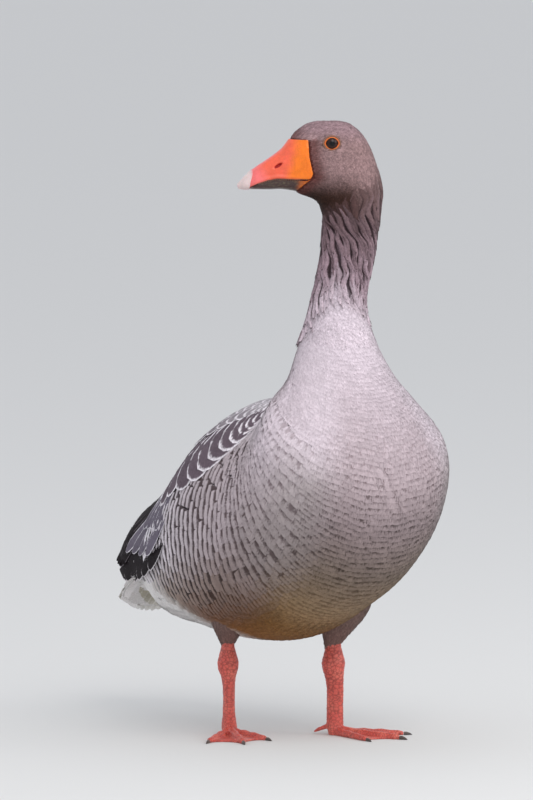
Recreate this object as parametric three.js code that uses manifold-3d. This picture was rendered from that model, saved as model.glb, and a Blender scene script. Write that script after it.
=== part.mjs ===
// A standing domestic goose with its head turned to its right, at life size, out to the tips of its feathers.
// Millimetres, +Z up. The bird faces -Y, so its left is +X. Places along the bird are given as [forward, up]:
// forward of the point midway between the legs, and up from the ground.
import * as THREE from "three";
import { mergeVertices } from "three/addons/utils/BufferGeometryUtils.js";
import Module from "manifold-3d";

const wasm = await Module();
wasm.setup();

// ---------------------------------------------------------------- driving dimensions
const GAP = 0.3; // clearance between neighbouring pieces
const RING_STEPS = 24; // corners of a slice of the body
const STEPS_PER_RIB = 2; // slices from one rib to the next
const LEFT = 1;
const RIGHT = -1;

const NECK_TOP = [120, 554.5]; // where the neck meets the head
const HEAD_TURN = 119; // degrees to the bird's right
const BILL_TIP = 120; // forward of the neck's top

const EYE = { forward: 24, up: 76.5, out: 15.2, radius: 8.2, lid: 6.9, lidThick: 1.25 };

const NOSTRIL = { forward: 79, up: 53.5, out: 12.4, long: 5.6, high: 2.3, deep: 3.2, slope: 32 };

const LEG_OUT = 44; // each leg's distance from the midline
const STRIDE = 34; // the left leg is this far forward, and the right leg this far back
const CUFF_HEIGHT = 99; // where the thigh's feathers end
const FOOT_HEIGHT = 12; // where the shank meets the foot
const TOES = [
  { name: "inner", angle: 27, length: 62, thick: 8.4 },
  { name: "middle", angle: -1, length: 78, thick: 9.4 },
  { name: "outer", angle: -29, length: 72, thick: 8.4 },
];
const CLAW_LENGTH = 9;
const WEB_THICK = 2;
const HIND_TOE = { angle: 166, start: 6, length: 17, thick: 6, up: 7 };

const UPRIGHT = new THREE.Vector3(0, 0, 1);

const COLOURS = {
  plumage: { color: 0x9d8a86, roughness: 0.85 },
  head: { color: 0x8a716a, roughness: 0.85 },
  pale: { color: 0xd3c6c8, roughness: 0.85 },
  wing: { color: 0x5d4f4f, roughness: 0.8 },
  white: { color: 0xe9e5e2, roughness: 0.85 },
  bill: { color: 0xf07a35, roughness: 0.45 },
  nail: { color: 0xe6d2cd, roughness: 0.4 },
  skin: { color: 0xd4604f, roughness: 0.55 },
  eye: { color: 0x21120e, roughness: 0.05 },
  lid: { color: 0xe9792c, roughness: 0.5 },
  claw: { color: 0x4a3f3a, roughness: 0.4 },
};

// ---------------------------------------------------------------- the body, as ribs
// A rib is an oval slice from the belly line to the back line. wide is its half-width, low says where it is
// widest (0 at the belly, 1 at the back), square is 2 for an ellipse and more for a boxier slice, and turn is
// how far it is turned to the bird's right about the neck's own upright axis, which stands at axis.
const rib = (name, back, belly, wide, low = 0.5, square = 2, turn = 0, axis = 98) => ({
  name, values: [...back, ...belly, wide, low, square, turn, axis],
});
const onHead = ([forward, up]) => [NECK_TOP[0] + forward, NECK_TOP[1] + up];
const headRib = (name, back, belly, wide, low, square = 2) =>
  rib(name, onHead(back), onHead(belly), wide, low, square, HEAD_TURN, NECK_TOP[0]);

const RIBS = [
  rib("rump end", [-206, 161], [-205, 141], 13, 0.5),
  rib("rump", [-178, 200], [-187, 119], 42, 0.5),
  rib("vent", [-147, 240], [-155, 109], 65, 0.49),
  rib("hips", [-106, 282], [-109, 106], 84, 0.46),
  rib("loins", [-60, 320], [-62, 101], 100, 0.46),
  rib("thighs", [-12, 344], [-14, 100], 109, 0.48),
  rib("mantle", [26, 354], [38, 107], 113, 0.52),
  rib("shoulders", [46, 358], [90, 131], 114, 0.54),
  rib("crop", [55, 362], [139, 161], 115, 0.55),
  rib("breast", [60, 369], [179, 208], 115, 0.54),
  rib("breast top", [63, 380], [198, 267], 107, 0.52),
  rib("throat base", [62, 394], [186, 322], 79, 0.47),
  rib("neck root", [59, 411], [156, 371], 56, 0.48),
  rib("neck flare", [62, 434], [136, 414], 39, 0.5, 2, 10),
  rib("lower neck", [68, 462], [122, 458], 28.2, 0.5, 2, 37, 96),
  rib("middle neck", [83, 510], [137, 511], 27.2, 0.5, 2, 68, 111),
  rib("upper neck", [91, 538], [147, 542], 27.6, 0.5, 2, 96, 118),
  headRib("nape", [-29, 6], [30, -3], 28.5, 0.5),
  headRib("throat", [-31, 28], [34, 11.5], 28, 0.5),
  headRib("back of head", [-25, 54], [38, 16], 26.5, 0.5),
  headRib("cheeks", [-13.5, 80.5], [42, 18.5], 25, 0.45),
  headRib("crown", [4, 96.5], [47, 20.5], 23.5, 0.42),
  headRib("brow", [25, 98.5], [52, 22], 21.5, 0.4),
  headRib("forehead", [44, 97.5], [57, 23.8], 19, 0.36),
  headRib("face", [60, 87.5], [63, 25.5], 16.8, 0.34),
  headRib("bill root", [74, 70.5], [74, 27.5], 14.6, 0.3, 2.2),
  headRib("nostrils", [88, 60], [88, 27.5], 13, 0.3, 2.2),
  headRib("bill front", [103, 50], [103, 28], 11, 0.35, 2.1),
  headRib("nail", [112, 42.5], [112, 28], 8, 0.4),
  headRib("bill tip", [BILL_TIP, 34], [BILL_TIP - 1, 29], 2.4, 0.5),
];
const BACK = 0;
const BELLY = 2;
const [WIDE, LOW, SQUARE, TURN, AXIS] = [4, 5, 6, 7, 8];

const middleOf = ({ values: v }) => [(v[BACK] + v[BELLY]) / 2, (v[BACK + 1] + v[BELLY + 1]) / 2];
const stations = RIBS.reduce((found, next, i) => {
  if (i === 0) return [0];
  const [a, b] = [middleOf(RIBS[i - 1]), middleOf(next)];
  return [...found, found[i - 1] + Math.hypot(b[0] - a[0], b[1] - a[1])];
}, []);
const bodyTrack = new THREE.CubicInterpolant(
  stations, RIBS.flatMap((r) => r.values), RIBS[0].values.length,
);

// A point of the unturned bird, turned to its right about an upright axis.
function turned(point, degrees, axis) {
  const pivot = new THREE.Vector3(0, -axis, 0);
  return point.sub(pivot).applyAxisAngle(UPRIGHT, -THREE.MathUtils.degToRad(degrees)).add(pivot);
}

const rounded = (value, square) => Math.sign(value) * Math.abs(value) ** (2 / square);

// The ring of the body at a station, grown outwards in its own plane.
function bodyRing(station, grow = 0) {
  const v = Array.from(bodyTrack.evaluate(station));
  const back = new THREE.Vector3(0, -v[BACK], v[BACK + 1]);
  const belly = new THREE.Vector3(0, -v[BELLY], v[BELLY + 1]);
  const up = back.clone().sub(belly).normalize();
  back.addScaledVector(up, grow);
  belly.addScaledVector(up, -grow);
  const centre = belly.clone().lerp(back, v[LOW]);
  return Array.from({ length: RING_STEPS }, (_, i) => {
    const angle = (2 * Math.PI * i) / RING_STEPS;
    const along = rounded(Math.cos(angle), v[SQUARE]);
    const point = centre.clone().lerp(along > 0 ? back : belly, Math.abs(along));
    point.x = rounded(Math.sin(angle), v[SQUARE]) * (v[WIDE] + grow);
    return turned(point, v[TURN], v[AXIS]);
  });
}

// ---------------------------------------------------------------- making solids
// A closed skin over rings of points, with a fan over each end.
function loft(rings) {
  const count = rings[0].length;
  const points = rings.flat();
  const faces = [];
  for (let r = 0; r + 1 < rings.length; r++)
    for (let i = 0; i < count; i++) {
      const [a, b] = [r * count + i, r * count + ((i + 1) % count)];
      faces.push(a, b, b + count, a, b + count, a + count);
    }
  for (const [ring, first] of [[rings[0], 0], [rings.at(-1), (rings.length - 1) * count]]) {
    const middle = points.length;
    points.push(ring.reduce((sum, p) => sum.add(p), new THREE.Vector3()).divideScalar(count));
    for (let i = 0; i < count; i++) {
      const [a, b] = [first + i, first + ((i + 1) % count)];
      faces.push(...(first ? [a, b, middle] : [b, a, middle]));
    }
  }
  return new THREE.BufferGeometry().setFromPoints(points).setIndex(faces);
}

// A geometry as a manifold-3d solid with its faces pointing out.
function solidOf(geometry) {
  const bare = geometry.clone();
  bare.deleteAttribute("normal");
  bare.deleteAttribute("uv");
  const merged = mergeVertices(bare, 1e-4);
  const make = (corners) =>
    new wasm.Manifold(new wasm.Mesh({
      numProp: 3, vertProperties: merged.attributes.position.array, triVerts: new Uint32Array(corners),
    }));
  const corners = Array.from(merged.index.array);
  const made = make(corners);
  return made.volume() > 0 ? made : make(corners.reverse());
}

function geometryOf(solid) {
  const mesh = solid.getMesh();
  const geometry = new THREE.BufferGeometry();
  geometry.setAttribute("position", new THREE.BufferAttribute(new Float32Array(mesh.vertProperties), 3));
  geometry.setIndex(new THREE.BufferAttribute(new Uint32Array(mesh.triVerts), 1));
  geometry.computeVertexNormals();
  return geometry;
}

const largest = (solid) => solid.decompose().sort((a, b) => b.volume() - a.volume())[0];
const together = (solids) => solids.reduce((sum, next) => sum.add(next));

// The body from one rib to another, pulled in by half the gap at each cut end.
function bodyBetween(from, to, grow = 0) {
  const first = RIBS.findIndex((r) => r.name === from);
  const last = RIBS.findIndex((r) => r.name === to);
  const at = [];
  for (let r = first; r < last; r++)
    for (let s = 0; s < STEPS_PER_RIB; s++)
      at.push(THREE.MathUtils.lerp(stations[r], stations[r + 1], s / STEPS_PER_RIB));
  at.push(stations[last]);
  const rings = at.map((station) => bodyRing(station, grow));
  const pullIn = (ring, next) => {
    const [top, side, bottom] = [ring[0], ring[RING_STEPS / 4], ring[RING_STEPS / 2]];
    const normal = new THREE.Plane().setFromCoplanarPoints(top, side, bottom).normal;
    const inwards = next[0].clone().sub(top).add(next[RING_STEPS / 2]).sub(bottom);
    normal.multiplyScalar(Math.sign(normal.dot(inwards)));
    ring.forEach((p) => p.addScaledVector(normal, GAP / 2));
  };
  if (grow === 0) {
    pullIn(rings[0], rings[1]);
    pullIn(rings.at(-1), rings.at(-2));
  }
  return solidOf(loft(rings));
}

// ---------------------------------------------------------------- head, bill and eyes
// Areas of the head's side view, forward and up of the neck's top. The bill's edge runs level under the
// forehead's feathers, down the face to the gape, and forward under the chin's feathers.
const FACE_LINE = [[67, 80], [48, 79.5], [47.5, 62], [43, 41]];
const MOUTH_LINE = [[43, 41], [49, 39], [62, 39], [80, 40], [90, 38], [100, 35], [107.5, 31.4], [110, 24]];
const CHIN_LINE = [[61, 24.5], [53, 32.5], [43, 41]];
const BEYOND = 160;
const NAIL_START = 103.5;
const UPPER_BILL = [
  ...FACE_LINE, ...MOUTH_LINE.slice(1), [110.5, 0], [BEYOND, 0], [BEYOND, BEYOND], [80, 100],
];
const LOWER_BILL = [...CHIN_LINE, ...MOUTH_LINE.slice(1), [110.5, 0], [61, 0]];
const NAIL = [[NAIL_START, 0], [BEYOND, 0], [BEYOND, BEYOND], [NAIL_START, BEYOND]];

// The outline with each edge moved inwards by a distance, for an outline that is then anticlockwise.
function inset(outline, distance) {
  const points = outline.map((p) => new THREE.Vector2(...p));
  if (THREE.ShapeUtils.isClockWise(points)) points.reverse();
  const edges = points.map((p, i) => {
    const along = points[(i + 1) % points.length].clone().sub(p).normalize();
    const inward = new THREE.Vector2(-along.y, along.x);
    return { along, inward, offset: p.dot(inward) + distance };
  });
  return edges.map((edge, i) => {
    const last = edges.at(i - 1);
    const cross = last.inward.cross(edge.inward);
    return new THREE.Vector2(
      (last.offset * edge.inward.y - edge.offset * last.inward.y) / cross,
      (edge.offset * last.inward.x - last.offset * edge.inward.x) / cross,
    );
  });
}

const headFrame = new THREE.Matrix4()
  .makeTranslation(0, -NECK_TOP[0], NECK_TOP[1])
  .multiply(new THREE.Matrix4().makeRotationZ(-THREE.MathUtils.degToRad(HEAD_TURN)))
  .multiply(new THREE.Matrix4().makeBasis(
    new THREE.Vector3(0, -1, 0), new THREE.Vector3(0, 0, 1), new THREE.Vector3(-1, 0, 0),
  ));

// A cutter through the whole head, from an outline in the head's side view.
function headCutter(outline, distance) {
  const depth = 200;
  const shape = new THREE.Shape(inset(outline, distance));
  const geometry = new THREE.ExtrudeGeometry(shape, { depth, bevelEnabled: false });
  return solidOf(geometry.translate(0, 0, -depth / 2).applyMatrix4(headFrame));
}

function inHead(geometry, side) {
  const across = new THREE.Matrix4().makeTranslation(EYE.forward, EYE.up, -side * EYE.out);
  return geometry.applyMatrix4(across).applyMatrix4(headFrame);
}

const eyeball = (side, grow = 0) =>
  solidOf(inHead(new THREE.SphereGeometry(EYE.radius + grow, 14, 8).rotateX(Math.PI / 2), side));

function eyelid(side, grow = 0) {
  const ring = new THREE.TorusGeometry(EYE.lid, EYE.lidThick + grow, 5, 14);
  const out = Math.sqrt(EYE.radius ** 2 - EYE.lid ** 2) + 0.4;
  return solidOf(inHead(ring.scale(1, 0.92, 1).translate(0, 0, -side * out), side));
}

// A slot that rises to the rear, sunk into the side of the bill.
function nostril(side) {
  const slot = new THREE.SphereGeometry(1, 7, 5).scale(NOSTRIL.long, NOSTRIL.high, NOSTRIL.deep);
  slot.rotateZ(-THREE.MathUtils.degToRad(NOSTRIL.slope));
  slot.translate(NOSTRIL.forward, NOSTRIL.up, -side * NOSTRIL.out);
  return solidOf(slot.applyMatrix4(headFrame));
}

// ---------------------------------------------------------------- wings and tail
// A wing rib runs over the folded wing from its upper edge to its lower edge, each [out, forward, up]. bulge
// is how far its middle stands out from the straight line between them, and thick is how thick the fold is.
const WING_RIBS = [
  { upper: [42, 76, 355], lower: [88, 68, 326], bulge: 9, thick: 5 },
  { upper: [32, 46, 359], lower: [106, 46, 290], bulge: 20, thick: 14 },
  { upper: [22, 0, 355], lower: [115, 6, 257], bulge: 26, thick: 18 },
  { upper: [14, -50, 334], lower: [110, -44, 237], bulge: 26, thick: 18 },
  { upper: [8, -100, 301], lower: [96, -94, 208], bulge: 23, thick: 15 },
  { upper: [8, -150, 262], lower: [79, -145, 181], bulge: 21, thick: 12 },
  { upper: [14, -190, 236], lower: [62, -188, 167], bulge: 19, thick: 8 },
  { upper: [20, -218, 210], lower: [51, -217, 161], bulge: 12, thick: 5 },
  { upper: [29, -241, 176], lower: [40, -240, 162], bulge: 3, thick: 2.5 },
];
const TAIL_RIBS = [
  { forward: -142, up: 196, wide: 34, droop: 6, thick: 22, trail: 0 },
  { forward: -168, up: 171, wide: 56, droop: 3, thick: 13, trail: 2 },
  { forward: -192, up: 148, wide: 69, droop: 0, thick: 8, trail: 7 },
  { forward: -213, up: 128, wide: 66, droop: -5, thick: 5, trail: 13 },
  { forward: -226, up: 116, wide: 54, droop: -11, thick: 3.5, trail: 18 },
];
const SHEET_STEPS = 8; // steps across a wing or tail
const WING_STEPS = 12; // steps along a wing
const TAIL_STEPS = 6; // steps along the tail

// Evenly spaced values of a list of number rows, on a smooth track through them.
function alongRows(rows, steps) {
  const track = new THREE.CubicInterpolant(rows.map((_, i) => i), rows.flat(), rows[0].length);
  const rowAt = (place) => Array.from(track.evaluate(place));
  return Array.from({ length: steps + 1 }, (_, i) => rowAt((i * (rows.length - 1)) / steps));
}

function wingSolid(side) {
  const rows = WING_RIBS.map((r) => [...r.upper, ...r.lower, r.bulge, r.thick]);
  const rings = alongRows(rows, WING_STEPS).map((v) => {
    const place = (i) => new THREE.Vector3(side * v[i], -v[i + 1], v[i + 2]);
    const [upper, lower] = [place(0), place(3)];
    const down = lower.clone().sub(upper);
    const out = new THREE.Vector3(side * -down.z, 0, side * down.x).normalize();
    const [bulge, thick] = v.slice(6);
    const at = (share, depth) => {
      const arch = 4 * share * (1 - share);
      const stand = arch * bulge - depth * (0.35 + 0.65 * arch);
      return upper.clone().addScaledVector(down, share).addScaledVector(out, stand);
    };
    const shares = Array.from({ length: SHEET_STEPS + 1 }, (_, i) => i / SHEET_STEPS);
    return [...shares.map((s) => at(s, 0)), ...shares.reverse().map((s) => at(s, thick))];
  });
  return solidOf(loft(rings));
}

function tailSolid(grow = 0) {
  const rows = TAIL_RIBS.map((r) => [r.forward, r.up, r.wide, r.droop, r.thick, r.trail]);
  const rings = alongRows(rows, TAIL_STEPS).map(([forward, up, wide, droop, thick, trail]) => {
    const at = (share, depth) => new THREE.Vector3(
      share * (wide + grow), -forward - trail * share ** 2, up + grow - droop * share ** 2 - depth,
    );
    const shares = Array.from({ length: SHEET_STEPS + 1 }, (_, i) => (2 * i) / SHEET_STEPS - 1);
    return [
      ...shares.map((s) => at(s, 0)),
      ...shares.reverse().map((s) => at(s, (thick + 2 * grow) * (1 - 0.6 * s ** 2))),
    ];
  });
  return solidOf(loft(rings));
}

// ---------------------------------------------------------------- legs and feet
const legPlace = (side) => new THREE.Vector3(side * LEG_OUT, -side * STRIDE, 0);
const FOOT_TURN = { [LEFT]: 22, [RIGHT]: -25 }; // degrees to the bird's left that each foot points
const LEAN = { [LEFT]: 0, [RIGHT]: 5 }; // how far each ankle stands behind its foot, in millimetres

// Oval slices of a leg from the top down: height, half-width, half-depth and how far back the middle is.
const THIGH_SLICES = [
  [168, 18, 26, -6], [146, 24, 32, -10], [128, 21.5, 27, -7], [113, 15.5, 18, -3], [104, 11, 12.5, 0],
  [CUFF_HEIGHT, 8.4, 10, 2],
];
const SHANK_SLICES = [
  [CUFF_HEIGHT, 6.8, 8.4, 2], [92, 7.2, 9, 2], [84, 9.4, 11.4, 2], [76, 11.6, 13, 2], [69, 11, 12, 2],
  [61, 7.8, 10.8, 1], [50, 6.5, 10, 0], [32, 6.3, 9.8, 0], [20, 6.8, 9.6, 0], [FOOT_HEIGHT, 8, 9.6, 0],
];
const LEG_STEPS = 12;

function legSolid(slices, side, top, bottom, grow = 0) {
  const turn = THREE.MathUtils.degToRad(FOOT_TURN[side]);
  const rings = slices.map(([height, halfWide, halfDeep, back]) => {
    const [wide, deep] = [halfWide + grow, halfDeep + grow];
    const lean = (LEAN[side] * (height - FOOT_HEIGHT)) / (SHANK_SLICES[0][0] - FOOT_HEIGHT);
    return Array.from({ length: LEG_STEPS }, (_, i) => {
      const angle = (2 * Math.PI * i) / LEG_STEPS;
      const point = new THREE.Vector3(wide * Math.cos(angle), deep * Math.sin(angle) + back + lean, 0);
      const z = THREE.MathUtils.clamp(height, bottom, top);
      return point.applyAxisAngle(UPRIGHT, turn).setZ(z).add(legPlace(side));
    });
  });
  return solidOf(loft(rings));
}

// Slices of a toe, from the hub outwards: share of its length, then half-width and height as shares of its
// thickness.
const TOE_SLICES = [
  [0, 0.62, 1.25], [0.16, 0.56, 1.05], [0.3, 0.46, 0.85], [0.42, 0.52, 0.92], [0.56, 0.42, 0.76],
  [0.68, 0.48, 0.82], [0.82, 0.38, 0.66], [0.93, 0.42, 0.64], [1, 0.24, 0.46],
];
const TOE_STEPS = 8;

// The way a toe points, as seen from above, with 0 straight ahead and positive towards the bird's midline.
function toeWay(side, angle) {
  const turn = THREE.MathUtils.degToRad(FOOT_TURN[side] - side * angle);
  return new THREE.Vector3(Math.sin(turn), -Math.cos(turn), 0);
}

// A slice with a flat sole on the ground and a rounded top.
function toeRing(middle, way, wide, high, lift = 0) {
  const across = new THREE.Vector3(-way.y, way.x, 0);
  return Array.from({ length: TOE_STEPS }, (_, i) => {
    const angle = -0.25 * Math.PI + (1.5 * Math.PI * i) / (TOE_STEPS - 1);
    const up = Math.max(0, (Math.sin(angle) + Math.SQRT1_2) / (1 + Math.SQRT1_2));
    return middle.clone().addScaledVector(across, wide * Math.cos(angle)).setZ(lift + high * up);
  });
}

function toeSolid(side, { angle, length, thick }) {
  const way = toeWay(side, angle);
  return solidOf(loft(TOE_SLICES.map(([share, wide, high]) =>
    toeRing(legPlace(side).addScaledVector(way, share * length), way, wide * thick, high * thick))));
}

function clawSolid(side, { angle, length, thick }) {
  const way = toeWay(side, angle);
  const slices = [[0, 0.24, 0.42], [0.35, 0.2, 0.4], [0.7, 0.12, 0.28], [1, 0.03, 0.08]];
  return solidOf(loft(slices.map(([share, wide, high]) => {
    const middle = legPlace(side).addScaledVector(way, length + GAP + share * CLAW_LENGTH);
    return toeRing(middle, way, wide * thick, high * thick, 0.2);
  })));
}

// The web between two toes, with a front edge that sags towards the leg.
function webSolid(side, first, second) {
  const onToe = ({ angle, length }) => legPlace(side).addScaledVector(toeWay(side, angle), 0.95 * length);
  const [hub, a, b] = [legPlace(side), onToe(first), onToe(second)];
  const sag = a.clone().add(b).multiplyScalar(0.5).lerp(hub, 0.2);
  const shape = new THREE.Shape().moveTo(hub.x, hub.y).lineTo(a.x, a.y);
  shape.quadraticCurveTo(sag.x, sag.y, b.x, b.y);
  const web = { depth: WEB_THICK, bevelEnabled: false, curveSegments: 5 };
  return solidOf(new THREE.ExtrudeGeometry(shape, web));
}

function hindToeSolid(side) {
  const { angle, start, length, thick, up } = HIND_TOE;
  const way = toeWay(side, angle);
  const slices = [[0, 0.5, 1], [0.4, 0.46, 0.85], [0.75, 0.4, 0.7], [1, 0.2, 0.4]];
  return solidOf(loft(slices.map(([share, wide, high]) => {
    const middle = legPlace(side).addScaledVector(way, start + share * length);
    return toeRing(middle, way, wide * thick, high * thick, THREE.MathUtils.lerp(up, 1.5, share));
  })));
}

function footSolid(side) {
  const hub = legSolid([
    [FOOT_HEIGHT - GAP, 8, 9, 0], [7, 8.6, 9.4, -1], [0, 7.4, 8, -1],
  ], side, FOOT_HEIGHT - GAP, 0);
  const [inner, middle, outer] = TOES;
  const whole = together([
    hub, ...TOES.map((toe) => toeSolid(side, toe)),
    webSolid(side, inner, middle), webSolid(side, middle, outer), hindToeSolid(side),
  ]);
  return largest(whole.subtract(legSolid(SHANK_SLICES, side, CUFF_HEIGHT, FOOT_HEIGHT - GAP, GAP)));
}

// ---------------------------------------------------------------- putting the bird together
const bird = new THREE.Group();

function addPiece(name, solid, finish) {
  const material = new THREE.MeshStandardMaterial({ ...COLOURS[finish], metalness: 0 });
  const mesh = new THREE.Mesh(geometryOf(solid), material);
  mesh.name = name;
  bird.add(mesh);
}

function addBody() {
  const trunk = bodyBetween("rump end", "neck root");
  const trunkRoom = bodyBetween("rump end", "neck flare", GAP);
  const tail = largest(tailSolid().subtract(trunkRoom));
  addPiece("trunk", trunk, "plumage");
  addPiece("neck_lower", bodyBetween("neck root", "lower neck"), "pale");
  addPiece("neck_middle", bodyBetween("lower neck", "middle neck"), "plumage");
  addPiece("neck_upper", bodyBetween("middle neck", "nape"), "plumage");
  addPiece("tail", tail, "white");
  for (const [side, word] of [[LEFT, "left"], [RIGHT, "right"]]) {
    const thigh = legSolid(THIGH_SLICES, side, BEYOND, CUFF_HEIGHT + GAP);
    addPiece(`wing_${word}`, largest(wingSolid(side).subtract(trunkRoom).subtract(tailSolid(GAP))), "wing");
    addPiece(`thigh_${word}`, largest(thigh.subtract(trunkRoom)), "plumage");
    addPiece(`shank_${word}`, legSolid(SHANK_SLICES, side, CUFF_HEIGHT, FOOT_HEIGHT), "skin");
    addPiece(`foot_${word}`, footSolid(side), "skin");
    for (const toe of TOES) addPiece(`claw_${word}_${toe.name}`, clawSolid(side, toe), "claw");
  }
}

function addHead() {
  const whole = bodyBetween("nape", "bill tip");
  const half = GAP / 2;
  const sides = [[LEFT, "left"], [RIGHT, "right"]];
  let head = whole.subtract(headCutter(UPPER_BILL, -half)).subtract(headCutter(LOWER_BILL, -half));
  for (const [side] of sides) head = head.subtract(eyelid(side, GAP)).subtract(eyeball(side, GAP));
  let upper = whole.intersect(headCutter(UPPER_BILL, half));
  for (const [side] of sides) upper = upper.subtract(nostril(side));
  addPiece("head", largest(head), "head");
  addPiece("upper_bill", largest(upper.subtract(headCutter(NAIL, -half))), "bill");
  addPiece("bill_nail", largest(upper.intersect(headCutter(NAIL, half))), "nail");
  addPiece("lower_bill", largest(whole.intersect(headCutter(LOWER_BILL, half))), "bill");
  for (const [side, word] of sides) {
    addPiece(`eye_${word}`, eyeball(side), "eye");
    addPiece(`eyelid_${word}`, largest(eyelid(side).subtract(eyeball(side, GAP))), "lid");
  }
}

addBody();
addHead();

// The origin is at the middle of the bottom of the whole bird's box.
const box = new THREE.Box3().setFromObject(bird);
const middle = box.getCenter(new THREE.Vector3());
bird.position.set(-middle.x, -middle.y, -box.min.z);

const goose = new THREE.Group();
goose.add(bird);

export default goose;
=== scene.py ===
"""The looks of a standing grey goose with its head turned to its right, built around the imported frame.

Sizes are in millimetres in the bird's own frame, and become metres in the row frame when a mesh is made. In
the bird's frame x is to its left, y is backwards and z is up, and its legs stand at y = 0 on average.
"""
import math
from functools import partial

import bpy
import bmesh
import numpy as np
from mathutils import Matrix, Vector, noise
from mathutils.bvhtree import BVHTree
from mathutils.kdtree import KDTree


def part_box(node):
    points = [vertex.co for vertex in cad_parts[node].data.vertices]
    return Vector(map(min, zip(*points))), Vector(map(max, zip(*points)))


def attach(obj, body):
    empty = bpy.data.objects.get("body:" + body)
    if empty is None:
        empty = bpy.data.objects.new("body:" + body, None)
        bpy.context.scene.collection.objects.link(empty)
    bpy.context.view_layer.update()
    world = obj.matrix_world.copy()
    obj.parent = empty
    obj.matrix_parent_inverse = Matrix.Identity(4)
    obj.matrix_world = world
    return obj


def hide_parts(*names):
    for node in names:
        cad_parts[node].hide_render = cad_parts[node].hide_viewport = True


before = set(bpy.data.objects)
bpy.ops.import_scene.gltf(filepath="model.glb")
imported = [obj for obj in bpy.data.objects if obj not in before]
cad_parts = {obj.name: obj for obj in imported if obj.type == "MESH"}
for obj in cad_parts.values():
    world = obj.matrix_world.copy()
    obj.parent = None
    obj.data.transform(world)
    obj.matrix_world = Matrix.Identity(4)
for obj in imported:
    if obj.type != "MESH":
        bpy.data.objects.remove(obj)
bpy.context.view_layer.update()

METRES = 0.001
LEFT, RIGHT = 1, -1
SIDES = ((LEFT, "left"), (RIGHT, "right"))
random = np.random.default_rng(7)
FULL_TURN = 2 * math.pi


# ---------------------------------------------------------------- small helpers
def colour(red, green, blue):
    """A colour given as it looks on a screen, 0 to 255, as linear light."""
    c = np.array([red, green, blue]) / 255.0
    return np.where(c <= 0.04045, c / 12.92, ((c + 0.055) / 1.055) ** 2.4)


def smooth(low, high, value):
    """A soft step from 0 at low to 1 at high. A low over the high turns it round."""
    t = np.clip((np.asarray(value, float) - low) / (high - low), 0, 1)
    return t * t * (3 - 2 * t)


def mix(a, b, share):
    share = np.asarray(share)[..., None]
    return a * (1 - share) + b * share


def layered(base, *layers):
    """A base colour with layers of (colour, share) over it, one after the other."""
    for tone, share in layers:
        base = mix(base, tone, share)
    return base


def ramp(stops, value):
    """The colour at a value, from stops of (value, (red, green, blue))."""
    at = [s[0] for s in stops]
    table = np.array([colour(*s[1]) for s in stops])
    return np.stack([np.interp(value, at, table[:, i]) for i in range(3)], -1)


def unit(v):
    return v / np.maximum(np.linalg.norm(v, axis=-1, keepdims=True), 1e-9)


def track(knots, rows, at):
    """A smooth track through rows of numbers at knots."""
    slopes = np.zeros_like(rows)
    slopes[1:-1] = (rows[2:] - rows[:-2]) / (knots[2:] - knots[:-2])[:, None]
    slopes[0] = (rows[1] - rows[0]) / (knots[1] - knots[0])
    slopes[-1] = (rows[-1] - rows[-2]) / (knots[-1] - knots[-2])
    at = np.asarray(at, float)
    i = np.clip(np.searchsorted(knots, at, "right") - 1, 0, len(knots) - 2)
    span = (knots[i + 1] - knots[i])[..., None]
    t = np.clip((at - knots[i]) / span[..., 0], 0, 1)[..., None]
    start = (1 + 2 * t) * (1 - t) ** 2 * rows[i] + t * (1 - t) ** 2 * span * slopes[i]
    return start + t * t * (3 - 2 * t) * rows[i + 1] + t * t * (t - 1) * span * slopes[i + 1]


def around(corners):
    """Angles spaced evenly round a full turn."""
    return np.arange(corners) * FULL_TURN / corners


def paired(a, b):
    """Two arrays or numbers spread over each other."""
    return np.broadcast_arrays(np.asarray(a, float), np.asarray(b, float))


def varied(share, count):
    """A column of random factors about 1, which differ by up to that share."""
    return 1 + random.uniform(-share, share, count)[:, None]


def power(value, square):
    """A sine or cosine bent from the ellipse, square 2, towards a box, as square grows."""
    return np.sign(value) * np.abs(value) ** (2 / square)


def bell(value, width):
    return np.exp(-(value / width) ** 2)


def noise_at(points, size, seed=0.0):
    """Smooth noise of about -1 to 1 at points, with features of about that size in millimetres."""
    return np.array([noise.noise(Vector(p)) for p in points / size + seed])


# ---------------------------------------------------------------- the body's ribs
# name, back line (forward, up), belly line (forward, up), half-width, where it is widest from belly to back,
# squareness, turn to the bird's right in degrees, and the forward place of the axis that it turns about
NECK_TOP = (120.0, 554.5)
HEAD_TURN = 119.0
BODY_RIBS = [
    ("rump end", -206, 161, -205, 141, 13, 0.5, 2, 0, 98),
    ("rump", -178, 200, -187, 119, 42, 0.5, 2, 0, 98),
    ("vent", -147, 240, -155, 109, 65, 0.49, 2, 0, 98),
    ("hips", -106, 282, -109, 106, 84, 0.46, 2, 0, 98),
    ("loins", -60, 320, -62, 101, 100, 0.46, 2, 0, 98),
    ("thighs", -12, 344, -14, 100, 109, 0.48, 2, 0, 98),
    ("mantle", 26, 354, 38, 107, 113, 0.52, 2, 0, 98),
    ("shoulders", 46, 358, 90, 131, 114, 0.54, 2, 0, 98),
    ("crop", 55, 362, 139, 161, 115, 0.55, 2, 0, 98),
    ("breast", 60, 369, 179, 208, 115, 0.54, 2, 0, 98),
    ("breast top", 63, 380, 198, 267, 107, 0.52, 2, 0, 98),
    ("throat base", 62, 394, 186, 322, 79, 0.47, 2, 0, 98),
    ("neck root", 59, 411, 156, 371, 56, 0.48, 2, 0, 98),
    ("neck flare", 62, 434, 136, 414, 39, 0.5, 2, 10, 98),
    ("lower neck", 68, 462, 122, 458, 28.2, 0.5, 2, 37, 96),
    ("middle neck", 83, 510, 137, 511, 27.2, 0.5, 2, 68, 111),
    ("upper neck", 91, 538, 147, 542, 27.6, 0.5, 2, 96, 118),
]
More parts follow.
